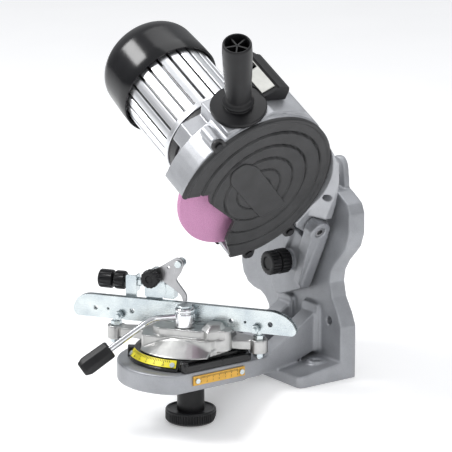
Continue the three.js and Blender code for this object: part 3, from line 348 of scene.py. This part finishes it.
def edged(node, width, segments=2, material=None):
    """The CAD solid with its edges broken, as a machined or moulded piece has them."""
    bm = welded(node)
    bmesh.ops.dissolve_limit(bm, angle_limit=FLAT_ANGLE, verts=bm.verts, edges=bm.edges)
    mesh = to_mesh(bm, node + "_look")
    smooth(mesh)
    piece = place(node + "_look", mesh, BODY_OF[node], SLOT_OF[node], material, node)
    bevelled(piece, width, segments, "MITER_ARC")


def filleted(node, voxel, rounds, material=None):
    """The CAD solid with cast fillets: remeshed finely, then relaxed."""
    mesh = to_mesh(welded(node), node + "_look")
    piece = place(node + "_look", mesh, BODY_OF[node], SLOT_OF[node], material, node)
    remesh = piece.modifiers.new("remesh", "REMESH")
    remesh.mode = "VOXEL"
    remesh.voxel_size = voxel * MM
    remesh.use_smooth_shade = True
    relax = piece.modifiers.new("relax", "SMOOTH")
    relax.factor = 0.5
    relax.iterations = rounds


def made_piece(name, shape, matrix, body, slot, material=None, node=None, angle=SMOOTH_ANGLE,
               bevel=0.0, local=False):
    """Places a mesh or bmesh in millimetres through its local frame, smoothed and bevelled."""
    mesh = shape if isinstance(shape, bpy.types.Mesh) else to_mesh(shape, name)
    smooth(mesh, angle)
    piece = place(name, mesh, body, slot, material, node, matrix, local)
    if bevel:
        bevelled(piece, bevel)
    return piece


def fresh(obj):
    """The object's mesh with its modifiers applied."""
    graph = bpy.context.evaluated_depsgraph_get()
    return bpy.data.meshes.new_from_object(obj.evaluated_get(graph))


# ---- shapes in local millimetres ------------------------------------------------------------
def revolved(rows, sides):
    """Closed solid of revolution about x; rows are (radius, x, rib depth)."""
    bm = bmesh.new()
    rings = []
    for r, x, depth in rows:
        if r < ON_AXIS:
            rings.append([bm.verts.new((x, 0, 0))])
            continue
        ring = []
        for k in range(sides):
            reach, turn = r - depth * RIB_WAVE[k % len(RIB_WAVE)], TAU * k / sides
            ring.append(bm.verts.new((x, reach * math.cos(turn), reach * math.sin(turn))))
        rings.append(ring)
    for first, second in zip(rings, rings[1:]):
        for k in range(sides):
            loop = (first[k % len(first)], first[(k + 1) % len(first)],
                    second[(k + 1) % len(second)], second[k % len(second)])
            corners = [v for i, v in enumerate(loop) if v not in loop[:i]]
            if len(corners) > 2:
                bm.faces.new(corners)
    return bm


def lathe(profile, sides=72):
    """A plain revolved solid; profile pairs are (radius, x)."""
    return revolved([(r, x, 0) for r, x in profile], sides)


def ribbed(rows, ribs):
    """A revolved solid with ribs; rows are (radius, x, rib depth)."""
    return revolved(rows, ribs * len(RIB_WAVE))


def blended(p, q, s, reach, steps):
    """Points of a short curve that cuts the corner q between p and s."""
    start, end = q + (p - q).normalized() * reach, q + (s - q).normalized() * reach
    return [start.lerp(q, k / steps).lerp(q.lerp(end, k / steps), k / steps)
            for k in range(steps + 1)]


def fine_profile(points, steps=5):
    """The profile with each inner corner cut by a short curve."""
    made = [points[0]]
    for before, here, after in zip(points, points[1:], points[2:]):
        p, q, s = Vector(before), Vector(here), Vector(after)
        reach = min((p - q).length, (s - q).length) * 0.4
        made += [tuple(v) for v in blended(p, q, s, reach, steps)]
    made.append(points[-1])
    return made


def rounded(points, radius, steps=6):
    """A closed outline with each corner cut by a short curve."""
    made = []
    count = len(points)
    for i in range(count):
        p, q, s = (Vector(points[(i + k) % count]) for k in (-1, 0, 1))
        reach = min(radius, (p - q).length * 0.48, (s - q).length * 0.48)
        made += blended(p, q, s, reach, steps)
    return made


def bridge(bm, rings):
    """Side faces from each closed ring of vertices to the next."""
    for first, second in zip(rings, rings[1:]):
        for k in range(len(first)):
            n = (k + 1) % len(first)
            bm.faces.new((first[k], first[n], second[n], second[k]))


def prism(outline, low, high):
    """A closed solid between two planes across x; outline pairs are (y, z)."""
    bm = bmesh.new()
    rings = [[bm.verts.new((x, y, z)) for y, z in outline] for x in (low, high)]
    bm.faces.new(rings[0][::-1])
    bm.faces.new(rings[1])
    bridge(bm, rings)
    return bm


def loft(outline, levels):
    """A closed solid through scaled copies of one outline; levels are (z, scale, shift)."""
    middle = sum(outline, Vector((0, 0))) / len(outline)
    bm = bmesh.new()
    rings = []
    for z, scale, shift in levels:
        spots = [middle + (p - middle) * scale + Vector(shift) for p in outline]
        rings.append([bm.verts.new((p.x, p.y, z)) for p in spots])
    bridge(bm, rings)
    bm.faces.new(rings[0][::-1])
    bm.faces.new(rings[-1])
    return bm


def carved(mesh, cutter):
    """The mesh less a cutter mesh, both in one local frame."""
    body = bpy.data.objects.new("carve_body", mesh)
    tool = bpy.data.objects.new("carve_tool", cutter)
    SCENE.collection.objects.link(body)
    SCENE.collection.objects.link(tool)
    step = body.modifiers.new("cut", "BOOLEAN")
    step.operation = "DIFFERENCE"
    step.solver = "EXACT"
    step.object = tool
    bpy.context.view_layer.update()
    made = fresh(body)
    for obj in (body, tool):
        bpy.data.objects.remove(obj)
    return made


# ---- castings ---------------------------------------------------------------------------
filleted("base_casting", 1.1, 8)
filleted("head_casting", 0.9, 6)
filleted("tilt_arm", 0.9, 5)
filleted("turntable", 0.8, 3)
filleted("slide_plate", 0.7, 2, SATIN_BLACK)

# ---- turned, stamped and moulded pieces -------------------------------------------------
for name in ("back_rail", "front_rail", "stop_bracket", "pawl_arm"):
    edged(name, 0.35, 3)
for name in ("rail_stud_left", "rail_stud_right", "height_screw_left", "height_screw_right",
             "cam_post", "stop_screw", "pawl_roller", "depth_screw", "hinge_pin", "tilt_bolt",
             "pivot_bolt", "table_scale_screw_front", "table_scale_screw_rear",
             "angle_scale_screw_left", "angle_scale_screw_right", "arbor_nut"):
    edged(name, 0.3)
for name in ("cover_screw_top", "cover_screw_bottom", "cover_screw_rear"):
    edged(name, 0.3, material=BLACKENED)
for name in ("tilt_clamp_knob", "switch_box", "work_lamp", "stop_carriage"):
    edged(name, 0.7, 3)
edged("lever_grip", 1.2, 4)
edged("lever_rod", 0.2)
edged("cable_gland", 0.4)
edged("switch_panel", 0.3)
edged("switch_rocker", 0.5, 3)
edged("table_scale", 0.2)
edged("angle_scale", 0.15)
edged("motor_ring", 0.3)
edged("grinding_wheel", 1.1, 5)
for name in ("return_spring", "stator", "rotor", "bearing_front", "bearing_rear",
             "spindle_shaft", "cooling_fan", "wheel_flange_inner", "wheel_flange_outer"):
    edged(name, 0.2, 1)

# ---- guard cover: stepped rings, a blank raised pad, screw tabs --------------------------
COVER_R = 81.4
COVER_BACK = 12.35
COVER_FACE = 15.3
COVER_SIDES = 260
RIM_FROM, RIM_TO = 77.2, 80.4
NOTCH = [(-100, 3.6), (-53, 3.6), (-48, -8), (-12, -35), (-13.5, -58), (-1, -79.5), (0, -100),
         (-100, -100)]
NOTCH_DEPTH = 40
PAD = [(-33, 13), (-36.5, 26), (-25, 35.5), (-9, 29.5), (43, -23.5), (18, -36.5)]
RING_CENTRE = Vector((4, 0))
# radius and depth of each groove
RINGS = ((66, 1.9), (51, 1.9), (36.5, 1.7), (23, 1.4), (12, 1.0))
COVER_SCREWS = [(-62.1, 61.4), (20.5, -80.5), (61, -61.4)]
TAB_R = 6.4


def outside(p, outline):
    """Signed distance from p to a closed outline, negative inside."""
    best, inside = 1e9, False
    for i, start in enumerate(outline):
        end = outline[(i + 1) % len(outline)]
        ax, ay, bx, by = start[0], start[1], end[0] - start[0], end[1] - start[1]
        t = min(1, max(0, ((p[0] - ax) * bx + (p[1] - ay) * by) / (bx * bx + by * by)))
        best = min(best, math.hypot(p[0] - ax - t * bx, p[1] - ay - t * by))
        if (start[1] > p[1]) != (end[1] > p[1]) and p[0] < ax + bx * (p[1] - ay) / by:
            inside = not inside
    return -best if inside else best


def swell(off, width):
    """A smooth hump, 1 where off is 0."""
    return math.exp(-((off / width) ** 2))


def cover_height(b, c):
    """How far the cover's face stands off its plain plane."""
    r = math.hypot(b, c)
    ring = (Vector((b, c)) - RING_CENTRE).length
    height = 0.9 * min(1, max(0, (r - RIM_FROM) / 1.2)) - 0.9 * max(0, (r - RIM_TO) / 1.0)
    for radius, depth in RINGS:
        height -= depth * swell(ring - radius, 0.85)
        height += 0.3 * depth * swell(ring - radius + 1.9, 0.7)
    if r < 77:
        height += 0.8 * swell(outside((b, c), NOTCH) - 1.3, 1.0)
    return height


def cover():
    """The round cover: fine rings of points for its face, a flat back, and the notch cut out."""
    radii = [0.8 * k for k in range(1, 96)] + [76.8 + 0.35 * k for k in range(1, 13)] + [COVER_R]
    bm = bmesh.new()
    middle = bm.verts.new((COVER_FACE + cover_height(0.0, 0.0), 0, 0))
    rings = []
    for r in radii:
        ring = []
        for k in range(COVER_SIDES):
            b, c = r * math.cos(TAU * k / COVER_SIDES), r * math.sin(TAU * k / COVER_SIDES)
            ring.append(bm.verts.new((COVER_FACE + cover_height(b, c), b, c)))
        rings.append(ring)
    back = [bm.verts.new((COVER_BACK, v.co.y, v.co.z)) for v in rings[-1]]
    hub = bm.verts.new((COVER_BACK, 0, 0))
    for k in range(COVER_SIDES):
        n = (k + 1) % COVER_SIDES
        bm.faces.new((middle, rings[0][k], rings[0][n]))
        for first, second in zip(rings, rings[1:]):
            bm.faces.new((first[k], second[k], second[n], first[n]))
        bm.faces.new((rings[-1][k], back[k], back[n], rings[-1][n]))
        bm.faces.new((back[k], hub, back[n]))
    cutter = to_mesh(prism(NOTCH[::-1], 0, NOTCH_DEPTH), "cutter")
    return carved(to_mesh(bm, "guard_cover_look"), cutter)


made_piece("guard_cover_look", cover(), HEAD, "head", "grey_plastic", node="guard_cover", angle=55)
pad = prism(rounded(PAD, 6), COVER_FACE - 0.4, COVER_FACE + 1.15)
made_piece("cover_pad", pad, HEAD, "head", "grey_plastic", bevel=0.7)
for end_name, (b, c) in zip(("top", "bottom", "rear"), COVER_SCREWS):
    out = Vector((b, c)).normalized()
    side = Vector((-out.y, out.x)) * TAB_R
    root = out * (COVER_R - 2)
    tip = Vector((b, c))
    arc = [tip + Matrix.Rotation(math.radians(90 - 15 * k), 2) @ out * TAB_R for k in range(13)]
    tab = prism([root + side, *arc, root - side], COVER_BACK + 0.1, COVER_FACE + 0.2)
    made_piece("cover_tab_" + end_name, tab, HEAD, "head", "grey_plastic", bevel=0.6)

# ---- motor: finned shell and glossy fan cowl -----------------------------------------------
SHELL_FRONT = -64
SHELL_BACK = -154
FINS = 26
# radii where the grooves' painted shade is darkest and where it ends
GROOVE_R, LAND_R = 43.2, 45.6
# share of one fin's turn, and radius
FIN = ((0.0, 43.0), (0.05, 42.8), (0.11, 42.8), (0.16, 43.0), (0.19, 45.4), (0.24, 46.0),
       (0.42, 46.05), (0.58, 46.1), (0.74, 46.05), (0.92, 46.0), (0.97, 45.4))


def shell_fins():
    """A barrel with broad lands between narrow deep grooves."""
    section = []
    for k in range(FINS):
        for share, r in FIN:
            turn = (k + share) / FINS * TAU
            section.append((r * math.cos(turn), r * math.sin(turn)))
    return prism(section[::-1], SHELL_BACK, SHELL_FRONT - 5.5)


def shell_rim():
    """The plain band that closes the fins' front."""
    return lathe([(45.9, SHELL_FRONT - 6), (46.6, SHELL_FRONT - 5.4), (46.6, SHELL_FRONT - 0.5),
                  (46.1, SHELL_FRONT), (40.0, SHELL_FRONT), (40.0, SHELL_FRONT - 6),
                  (45.9, SHELL_FRONT - 6)], 96)


def shell_material():
    """Bright shot aluminium on the lands, with painted shade in the grooves: the colour goes near black towards
    the groove bottoms.
    """
    m = Nodes("shell_fins", 0.3, 0.9)
    split = m.add("ShaderNodeSeparateXYZ")
    m.link(m.coords, "Object", split, "Vector")
    flat = m.add("ShaderNodeCombineXYZ")
    m.link(split, "Y", flat, "Y")
    m.link(split, "Z", flat, "Z")
    length = m.add("ShaderNodeVectorMath")
    length.operation = "LENGTH"
    m.link(flat, "Vector", length, 0)
    span = m.add("ShaderNodeMapRange")
    span.inputs["From Min"].default_value = GROOVE_R
    span.inputs["From Max"].default_value = LAND_R
    m.link(length, "Value", span, "Value")
    # painted shade: near black at the groove bottoms, lightening to the lands' aluminium colour
    tone = m.ramp(span, "Result", [(0.0, (0.10, 0.10, 0.105)), (1.0, (0.86, 0.87, 0.89))])
    streak = m.noise(1.2, 4, 0.6, (0.05, 1, 1))
    line = m.ramp(streak, "Fac", [(0.3, (0.88, 0.88, 0.88)), (0.7, (1, 1, 1))])
    m.colour_mixed("MULTIPLY", tone, line, 0.6)
    m.bump((streak, "Fac", 0.1, 0.0003))
    return m.material


made_piece("motor_shell_look", shell_fins(), HEAD, "head", "fins", shell_material(), "motor_shell",
           angle=30, local=True)
made_piece("motor_shell_rim", shell_rim(), HEAD, "head", "fins", angle=30)

SKIRT, TIP, CAP_WALL = -172, -205, 2.8


def dome(radius, tip, steps):
    """Profile pairs of a quarter oval, from the skirt towards the tip."""
    return [(radius * math.cos(k / steps * math.pi / 2),
             SKIRT + (tip - SKIRT) * math.sin(k / steps * math.pi / 2)) for k in range(steps)]


cowl = [(0, TIP + CAP_WALL), *dome(45.8, TIP + CAP_WALL, 12)[::-1], (47.2, -150), (47.4, -137.2),
        (48.0, -136.6), (49.6, -136.6), (50, -137.2), (49.8, -150), *dome(48.6, TIP, 20), (0, TIP)]
made_piece("motor_cap_look", lathe(cowl, 96), HEAD, "head", "gloss_black", node="motor_cap",
           angle=40)

# ---- handle ------------------------------------------------------------------------------
LEAN = math.radians(20)
HANDLE_ROOT = 82.6
HANDLE_X = -12
HANDLE_RIBS = 5
HANDLE_DIR = Vector((0, -math.sin(LEAN), math.cos(LEAN)))
ACROSS = Vector((-1, 0, 0))
GRIP = Matrix((HANDLE_DIR, ACROSS, HANDLE_DIR.cross(ACROSS))).transposed().to_4x4()
GRIP.translation = Vector((HANDLE_X, HANDLE_ROOT * HANDLE_DIR.y, HANDLE_ROOT * HANDLE_DIR.z))
barrel = fine_profile([(0, 0.1), (25.4, 0.1), (25.8, 1.5), (25.8, 4.4), (12.8, 5.6), (12.2, 7),
                       (14.4, 8.4), (14.2, 11), (11.7, 14), (12.0, 27), (13.1, 50), (13.6, 70),
                       (13.1, 80), (12.2, 81.5), (11.1, 81.3), (10.8, 79), (10.6, 57), (0, 56)])
made_piece("handle_look", lathe(barrel, 80), HEAD @ GRIP, "head", "black_plastic", node="handle",
           angle=50)
for k in range(HANDLE_RIBS):
    web = prism([(0.2, -0.7), (10.9, -0.7), (10.9, 0.7), (0.2, 0.7)], 56, 78.5)
    turned = HEAD @ GRIP @ Matrix.Rotation(k * TAU / HANDLE_RIBS, 4, "X")
    made_piece(f"handle_rib_{k + 1}", web, turned, "head", "black_plastic")

# ---- lock knob: a dished hand wheel with fine ribs ------------------------------------------
UP = Matrix(((0, 0, 1), (0, 1, 0), (-1, 0, 0))).transposed().to_4x4()
wheel = [(0, -38.6, 0), (16, -38.6, 0), (20.6, -38.2, 0), (22.8, -37.2, 0), (24.2, -35.6, 0.2),
         (24.3, -34.6, 0.9), (24.3, -28.4, 0.9), (24.1, -27.4, 0.2), (24.2, -26.4, 0),
         (23.4, -25.3, 0), (22.2, -25.3, 0), (21.4, -26.4, 0), (15, -27.6, 0), (13.2, -27, 0),
         (13.1, -24, 0), (13.1, 5.6, 0), (12.4, 6.5, 0), (4.5, 6.5, 0), (4.4, -20, 0), (0, -20, 0)]
made_piece("lock_knob_look", ribbed(wheel, 60), TABLE @ UP, "lock_knob", "black_plastic",
           node="lock_knob", angle=35)


# ---- small fluted knobs and the clamp's hub ---------------------------------------------------
ALONG_Y = Matrix(((0, 1, 0), (-1, 0, 0), (0, 0, 1))).transposed().to_4x4()


def fluted_knob(r, low, high, recess=0.34):
    """Profile rows of a fluted knob whose first face is dished."""
    flute = 1.1
    edge = flute * 0.3
    return [(0, low + 1.4, 0), (r * recess, low + 1.4, 0), (r * (recess + 0.08), low + 0.3, 0),
            (r * 0.8, low, 0), (r - 0.5, low + 0.7, edge), (r, low + 1.6, flute),
            (r, high - 1.6, flute), (r - 0.5, high - 0.7, edge), (r * 0.8, high, 0), (0, high, 0)]


FEED = VISE @ Matrix.Translation((0, 9.5, 91))
PAWL = VISE @ Matrix.Translation((-36.8, 0, 100)) @ ALONG_Y
DEPTH = ARM @ Matrix.Translation((3.5, 0, 34)) @ ALONG_Y
CAM = VISE @ Matrix.Translation((0, -15.5, 0)) @ UP
SMALL_R, SMALL_FLUTES = 8.9, 14
for node, low, high, matrix, body in (
        ("stop_knob", -95.4, -81.1, FEED, "stop_screw"),
        ("stop_lock_wheel", -79.3, -68.7, FEED, "stop_lock_wheel"),
        ("pawl_knob", -13.4, -4.6, PAWL, "pawl_knob")):
    made_piece(node + "_look", ribbed(fluted_knob(SMALL_R, low, high), SMALL_FLUTES), matrix, body,
               "black_plastic", node=node)
DEPTH_FLUTES = 22
made_piece("depth_knob_look", ribbed(fluted_knob(11.6, 75.6, 86, 0.5), DEPTH_FLUTES), DEPTH,
           "depth_stop", "black_plastic", node="depth_knob")
made_piece("depth_knob_collar", ribbed(fluted_knob(12, 86.4, 98.1), DEPTH_FLUTES), DEPTH,
           "depth_stop", "black_plastic")

hub = fine_profile([(0, 59.4), (9.3, 59.4), (9.6, 59.8), (9.6, 71.6), (9.0, 72.2), (8.3, 72.4),
                    (8.3, 73.3), (9.1, 73.5), (9.4, 74.1), (9.3, 76.2), (8.2, 77.4), (4.4, 77.4),
                    (4.3, 70), (0, 70)], 3)
made_piece("cam_hub_look", lathe(hub, 64), CAM, "clamp_lever", "chrome", node="cam_hub", angle=50)

boss = rounded([(17, -21), (27.5, -29), (38.5, -20.5), (40, -9), (36, -4.9), (17, -4.9)], 2.5, 3)
boss_levels = [(50.6, 1, (0, 0)), (58.2, 0.97, (0, 0)), (60.5, 0.88, (0, 0.8)),
               (63.4, 0.66, (0, 2.2)), (64.4, 0.5, (0, 3.0))]
made_piece("turntable_boss", loft(boss, boss_levels), VISE, "vise", "machined", bevel=0.5)

# ---- printed scales -------------------------------------------------------------------------
def plate_text(name, text, matrix, height, body, slot):
    """Digits in a plain face, as a thin raised print; the matrix's x runs along the text."""
    curve = bpy.data.curves.new(name, "FONT")
    curve.body = text
    curve.size = height
    curve.align_x = "CENTER"
    curve.align_y = "CENTER"
    curve.extrude = 0.03
    curve.resolution_u = 2
    helper = bpy.data.objects.new(name + "_curve", curve)
    SCENE.collection.objects.link(helper)
    bpy.context.view_layer.update()
    mesh = fresh(helper)
    bpy.data.objects.remove(helper)
    return place(name, mesh, body, slot, INK, None, matrix)


def strokes(name, marks, matrix, body, slot):
    """Thin raised marks; each is (centre, along, across, out) with half lengths in the vectors."""
    bm = bmesh.new()
    for middle, along, across, out in marks:
        corners = [middle + s * along + t * across + w * out for w in (0, 1) for s, t in
                   ((-1, -1), (1, -1), (1, 1), (-1, 1))]
        v = [bm.verts.new(c) for c in corners]
        for face in ((0, 3, 2, 1), (4, 5, 6, 7), (0, 1, 5, 4), (1, 2, 6, 5), (2, 3, 7, 6),
                     (3, 0, 4, 7)):
            bm.faces.new([v[i] for i in face])
    place(name, to_mesh(bm, name), body, slot, INK, None, matrix)


plate_low, plate_high = (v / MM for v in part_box("table_scale"))
PLATE_X = plate_high.x + 0.02
TICKS_FROM = plate_low.y + 8.3
TICK_STEP = 1.4
INK_RISE = 0.06
marks = []
for k in range(31):
    half = 1.5 if k % 5 == 0 else 0.9
    spot = Vector((PLATE_X, TICKS_FROM + TICK_STEP * k, plate_high.z - 1.0 - half))
    marks.append((spot, Vector((0, 0, half)), Vector((0, 0.24, 0)), Vector((INK_RISE, 0, 0))))
strokes("table_scale_ticks", marks, WORLD, "base", "orange_scale")
ON_PLATE = Matrix(((0, 1, 0), (0, 0, 1), (1, 0, 0))).transposed().to_4x4()
for k in range(7):
    spot = ON_PLATE.copy()
    spot.translation = Vector((PLATE_X + 0.02, TICKS_FROM + 7 * k, plate_low.z + 2.6))
    plate_text(f"table_scale_number_{k}", str(abs(k - 3)), WORLD @ spot, 2.8, "base",
               "orange_scale")

ARC_MIDDLE = 278
ARC_TOP, ARC_LOW = Vector((53.9, 0, 36.85)), Vector((58.35, 0, 30.75))


def on_arc(turn, share, lift):
    """A point on the sloping arc scale, and its up, across and out directions there."""
    slope = (ARC_LOW - ARC_TOP).normalized()
    out = Vector((-slope.z, 0, slope.x))
    point = ARC_TOP.lerp(ARC_LOW, share) + out * lift
    spin = Matrix.Rotation(math.radians(turn), 3, "Z")
    return spin @ point, spin @ -slope, spin @ Vector((0, 1, 0)), spin @ out


marks = []
for k in range(27):
    reach = 0.24 if k % 5 == 3 else 0.14
    point, up, across, out = on_arc(ARC_MIDDLE + (k - 13) * 2, 0.06 + reach, 0.02)
    along = up * reach * (ARC_LOW - ARC_TOP).length
    marks.append((point, along, across * 0.26, out * INK_RISE))
strokes("angle_scale_ticks", marks, TABLE, "slide", "yellow_scale")
for k in range(5):
    point, up, across, out = on_arc(ARC_MIDDLE + (k - 2) * 10, 0.76, 0.03)
    spot = Matrix((across, up, out)).transposed().to_4x4()
    spot.translation = point
    plate_text(f"angle_scale_number_{k}", str(abs(k - 2) * 10), TABLE @ spot, 2.6, "slide",
               "yellow_scale")

# ---- a plain round spot on the motor cup -----------------------------------------------------
SPOT_TURN = math.radians(135)
SPOT_X = -44.5
CUP_R = 43.0
DISC_SIDES = 40


def cup_disc(name, radius, lift, material, inner):
    """A flat ring, or a disc where inner is near 0, bent over the motor cup's round wall."""
    bm = bmesh.new()
    cup_r = CUP_R + lift
    rings = []
    for r in (inner, inner + (radius - inner) * 0.5, radius):
        ring = []
        for k in range(DISC_SIDES):
            turn = TAU * k / DISC_SIDES
            angle = SPOT_TURN + r * math.sin(turn) / cup_r
            ring.append(bm.verts.new((SPOT_X + r * math.cos(turn), cup_r * math.cos(angle),
                                      cup_r * math.sin(angle))))
        rings.append(ring)
    bridge(bm, rings)
    piece = made_piece(name, bm, HEAD, "head", "pale_label", material)
    solid = piece.modifiers.new("thick", "SOLIDIFY")
    solid.thickness = 0.12 * MM
    solid.offset = 0


cup_disc("motor_spot", 6.6, 0.15, BLUE, 0.05)
cup_disc("motor_spot_ring", 5.4, 0.3, WHITE, 4.7)
cup_disc("motor_spot_centre", 2.6, 0.3, WHITE, 1.6)

# ---- stage and light --------------------------------------------------------------------
FLOOR_HALF = 5
FLOOR_GLOW = 0.26
DIP_FROM, DIP_LENGTH = -0.040, 0.062
CAMERA_WHITE = (1, 1, 1, 1)


def floor():
    """A pale sweep that lies under the foot and dips in front of it, below the lock knob."""
    low = CAD_BOX[0].z
    bm = bmesh.new()
    rows = []
    steps = [-3.0 + 0.05 * k for k in range(57)] + [-0.2 + 0.004 * k for k in range(1, 51)]
    steps += [0.004 + 0.3 * k for k in range(1, 15)]
    for y in steps:
        t = min(1, max(0, (DIP_FROM - y) / DIP_LENGTH))
        z = low * t * t * (3 - 2 * t)
        rows.append([bm.verts.new((x, y, z)) for x in (-FLOOR_HALF, FLOOR_HALF)])
    for first, second in zip(rows, rows[1:]):
        bm.faces.new((first[0], first[1], second[1], second[0]))
    mesh = to_mesh(bm, "floor")
    mesh.shade_smooth()
    obj = bpy.data.objects.new("floor", mesh)
    SCENE.collection.objects.link(obj)
    m = Nodes("floor", 0.75, 0.0)
    tone = m.ramp(m.noise(4, 2), "Fac", [(0.3, (0.90, 0.90, 0.90)), (0.7, (0.93, 0.93, 0.93))])
    m.colour_from(tone)
    m.shader.inputs["Emission Color"].default_value = (1, 1, 1, 1)
    m.shader.inputs["Emission Strength"].default_value = FLOOR_GLOW
    mesh.materials.append(m.material)


def lamp(name, location, target, size, power):
    """A square soft light that faces the target."""
    data = bpy.data.lights.new(name, "AREA")
    data.shape = "RECTANGLE"
    data.size = data.size_y = size
    data.energy = power
    obj = bpy.data.objects.new(name, data)
    obj.location = location
    obj.rotation_euler = (Vector(target) - Vector(location)).to_track_quat("-Z", "Y").to_euler()
    SCENE.collection.objects.link(obj)


def studio():
    """A world that is white to the camera and lights from above, darker below."""
    world = bpy.data.worlds.new("studio")
    world.use_nodes = True
    SCENE.world = world
    tree = world.node_tree
    coords = tree.nodes.new("ShaderNodeTexCoord")
    split = tree.nodes.new("ShaderNodeSeparateXYZ")
    share = tree.nodes.new("ShaderNodeMapRange")
    share.inputs["From Min"].default_value = -1
    ramp = tree.nodes.new("ShaderNodeValToRGB")
    for element, place_at, colour in zip(ramp.color_ramp.elements, (0.35, 0.8),
                                         ((0.10, 0.10, 0.105, 1), (0.62, 0.63, 0.65, 1))):
        element.position = place_at
        element.color = colour
    path = tree.nodes.new("ShaderNodeLightPath")
    mix = tree.nodes.new("ShaderNodeMix")
    mix.data_type = "RGBA"
    mix.inputs[MIX_B].default_value = CAMERA_WHITE
    for output, socket in (
            (coords.outputs["Generated"], split.inputs[0]),
            (split.outputs["Z"], share.inputs["Value"]),
            (share.outputs["Result"], ramp.inputs["Fac"]),
            (path.outputs["Is Camera Ray"], mix.inputs[MIX_AMOUNT]),
            (ramp.outputs["Color"], mix.inputs[MIX_A]),
            (mix.outputs[MIX_RESULT], tree.nodes["Background"].inputs["Color"])):
        tree.links.new(output, socket)


floor()
centre = (CAD_BOX[0] + CAD_BOX[1]) / 2
lamp("key", (-0.7, -1.2, 1.5), centre, 0.7, 20)
lamp("fill", (1.6, -0.2, 0.9), centre, 1.0, 4)
lamp("top", (0.0, 0.3, 1.7), centre, 1.2, 7)
studio()
SCENE.view_settings.view_transform = "Standard"
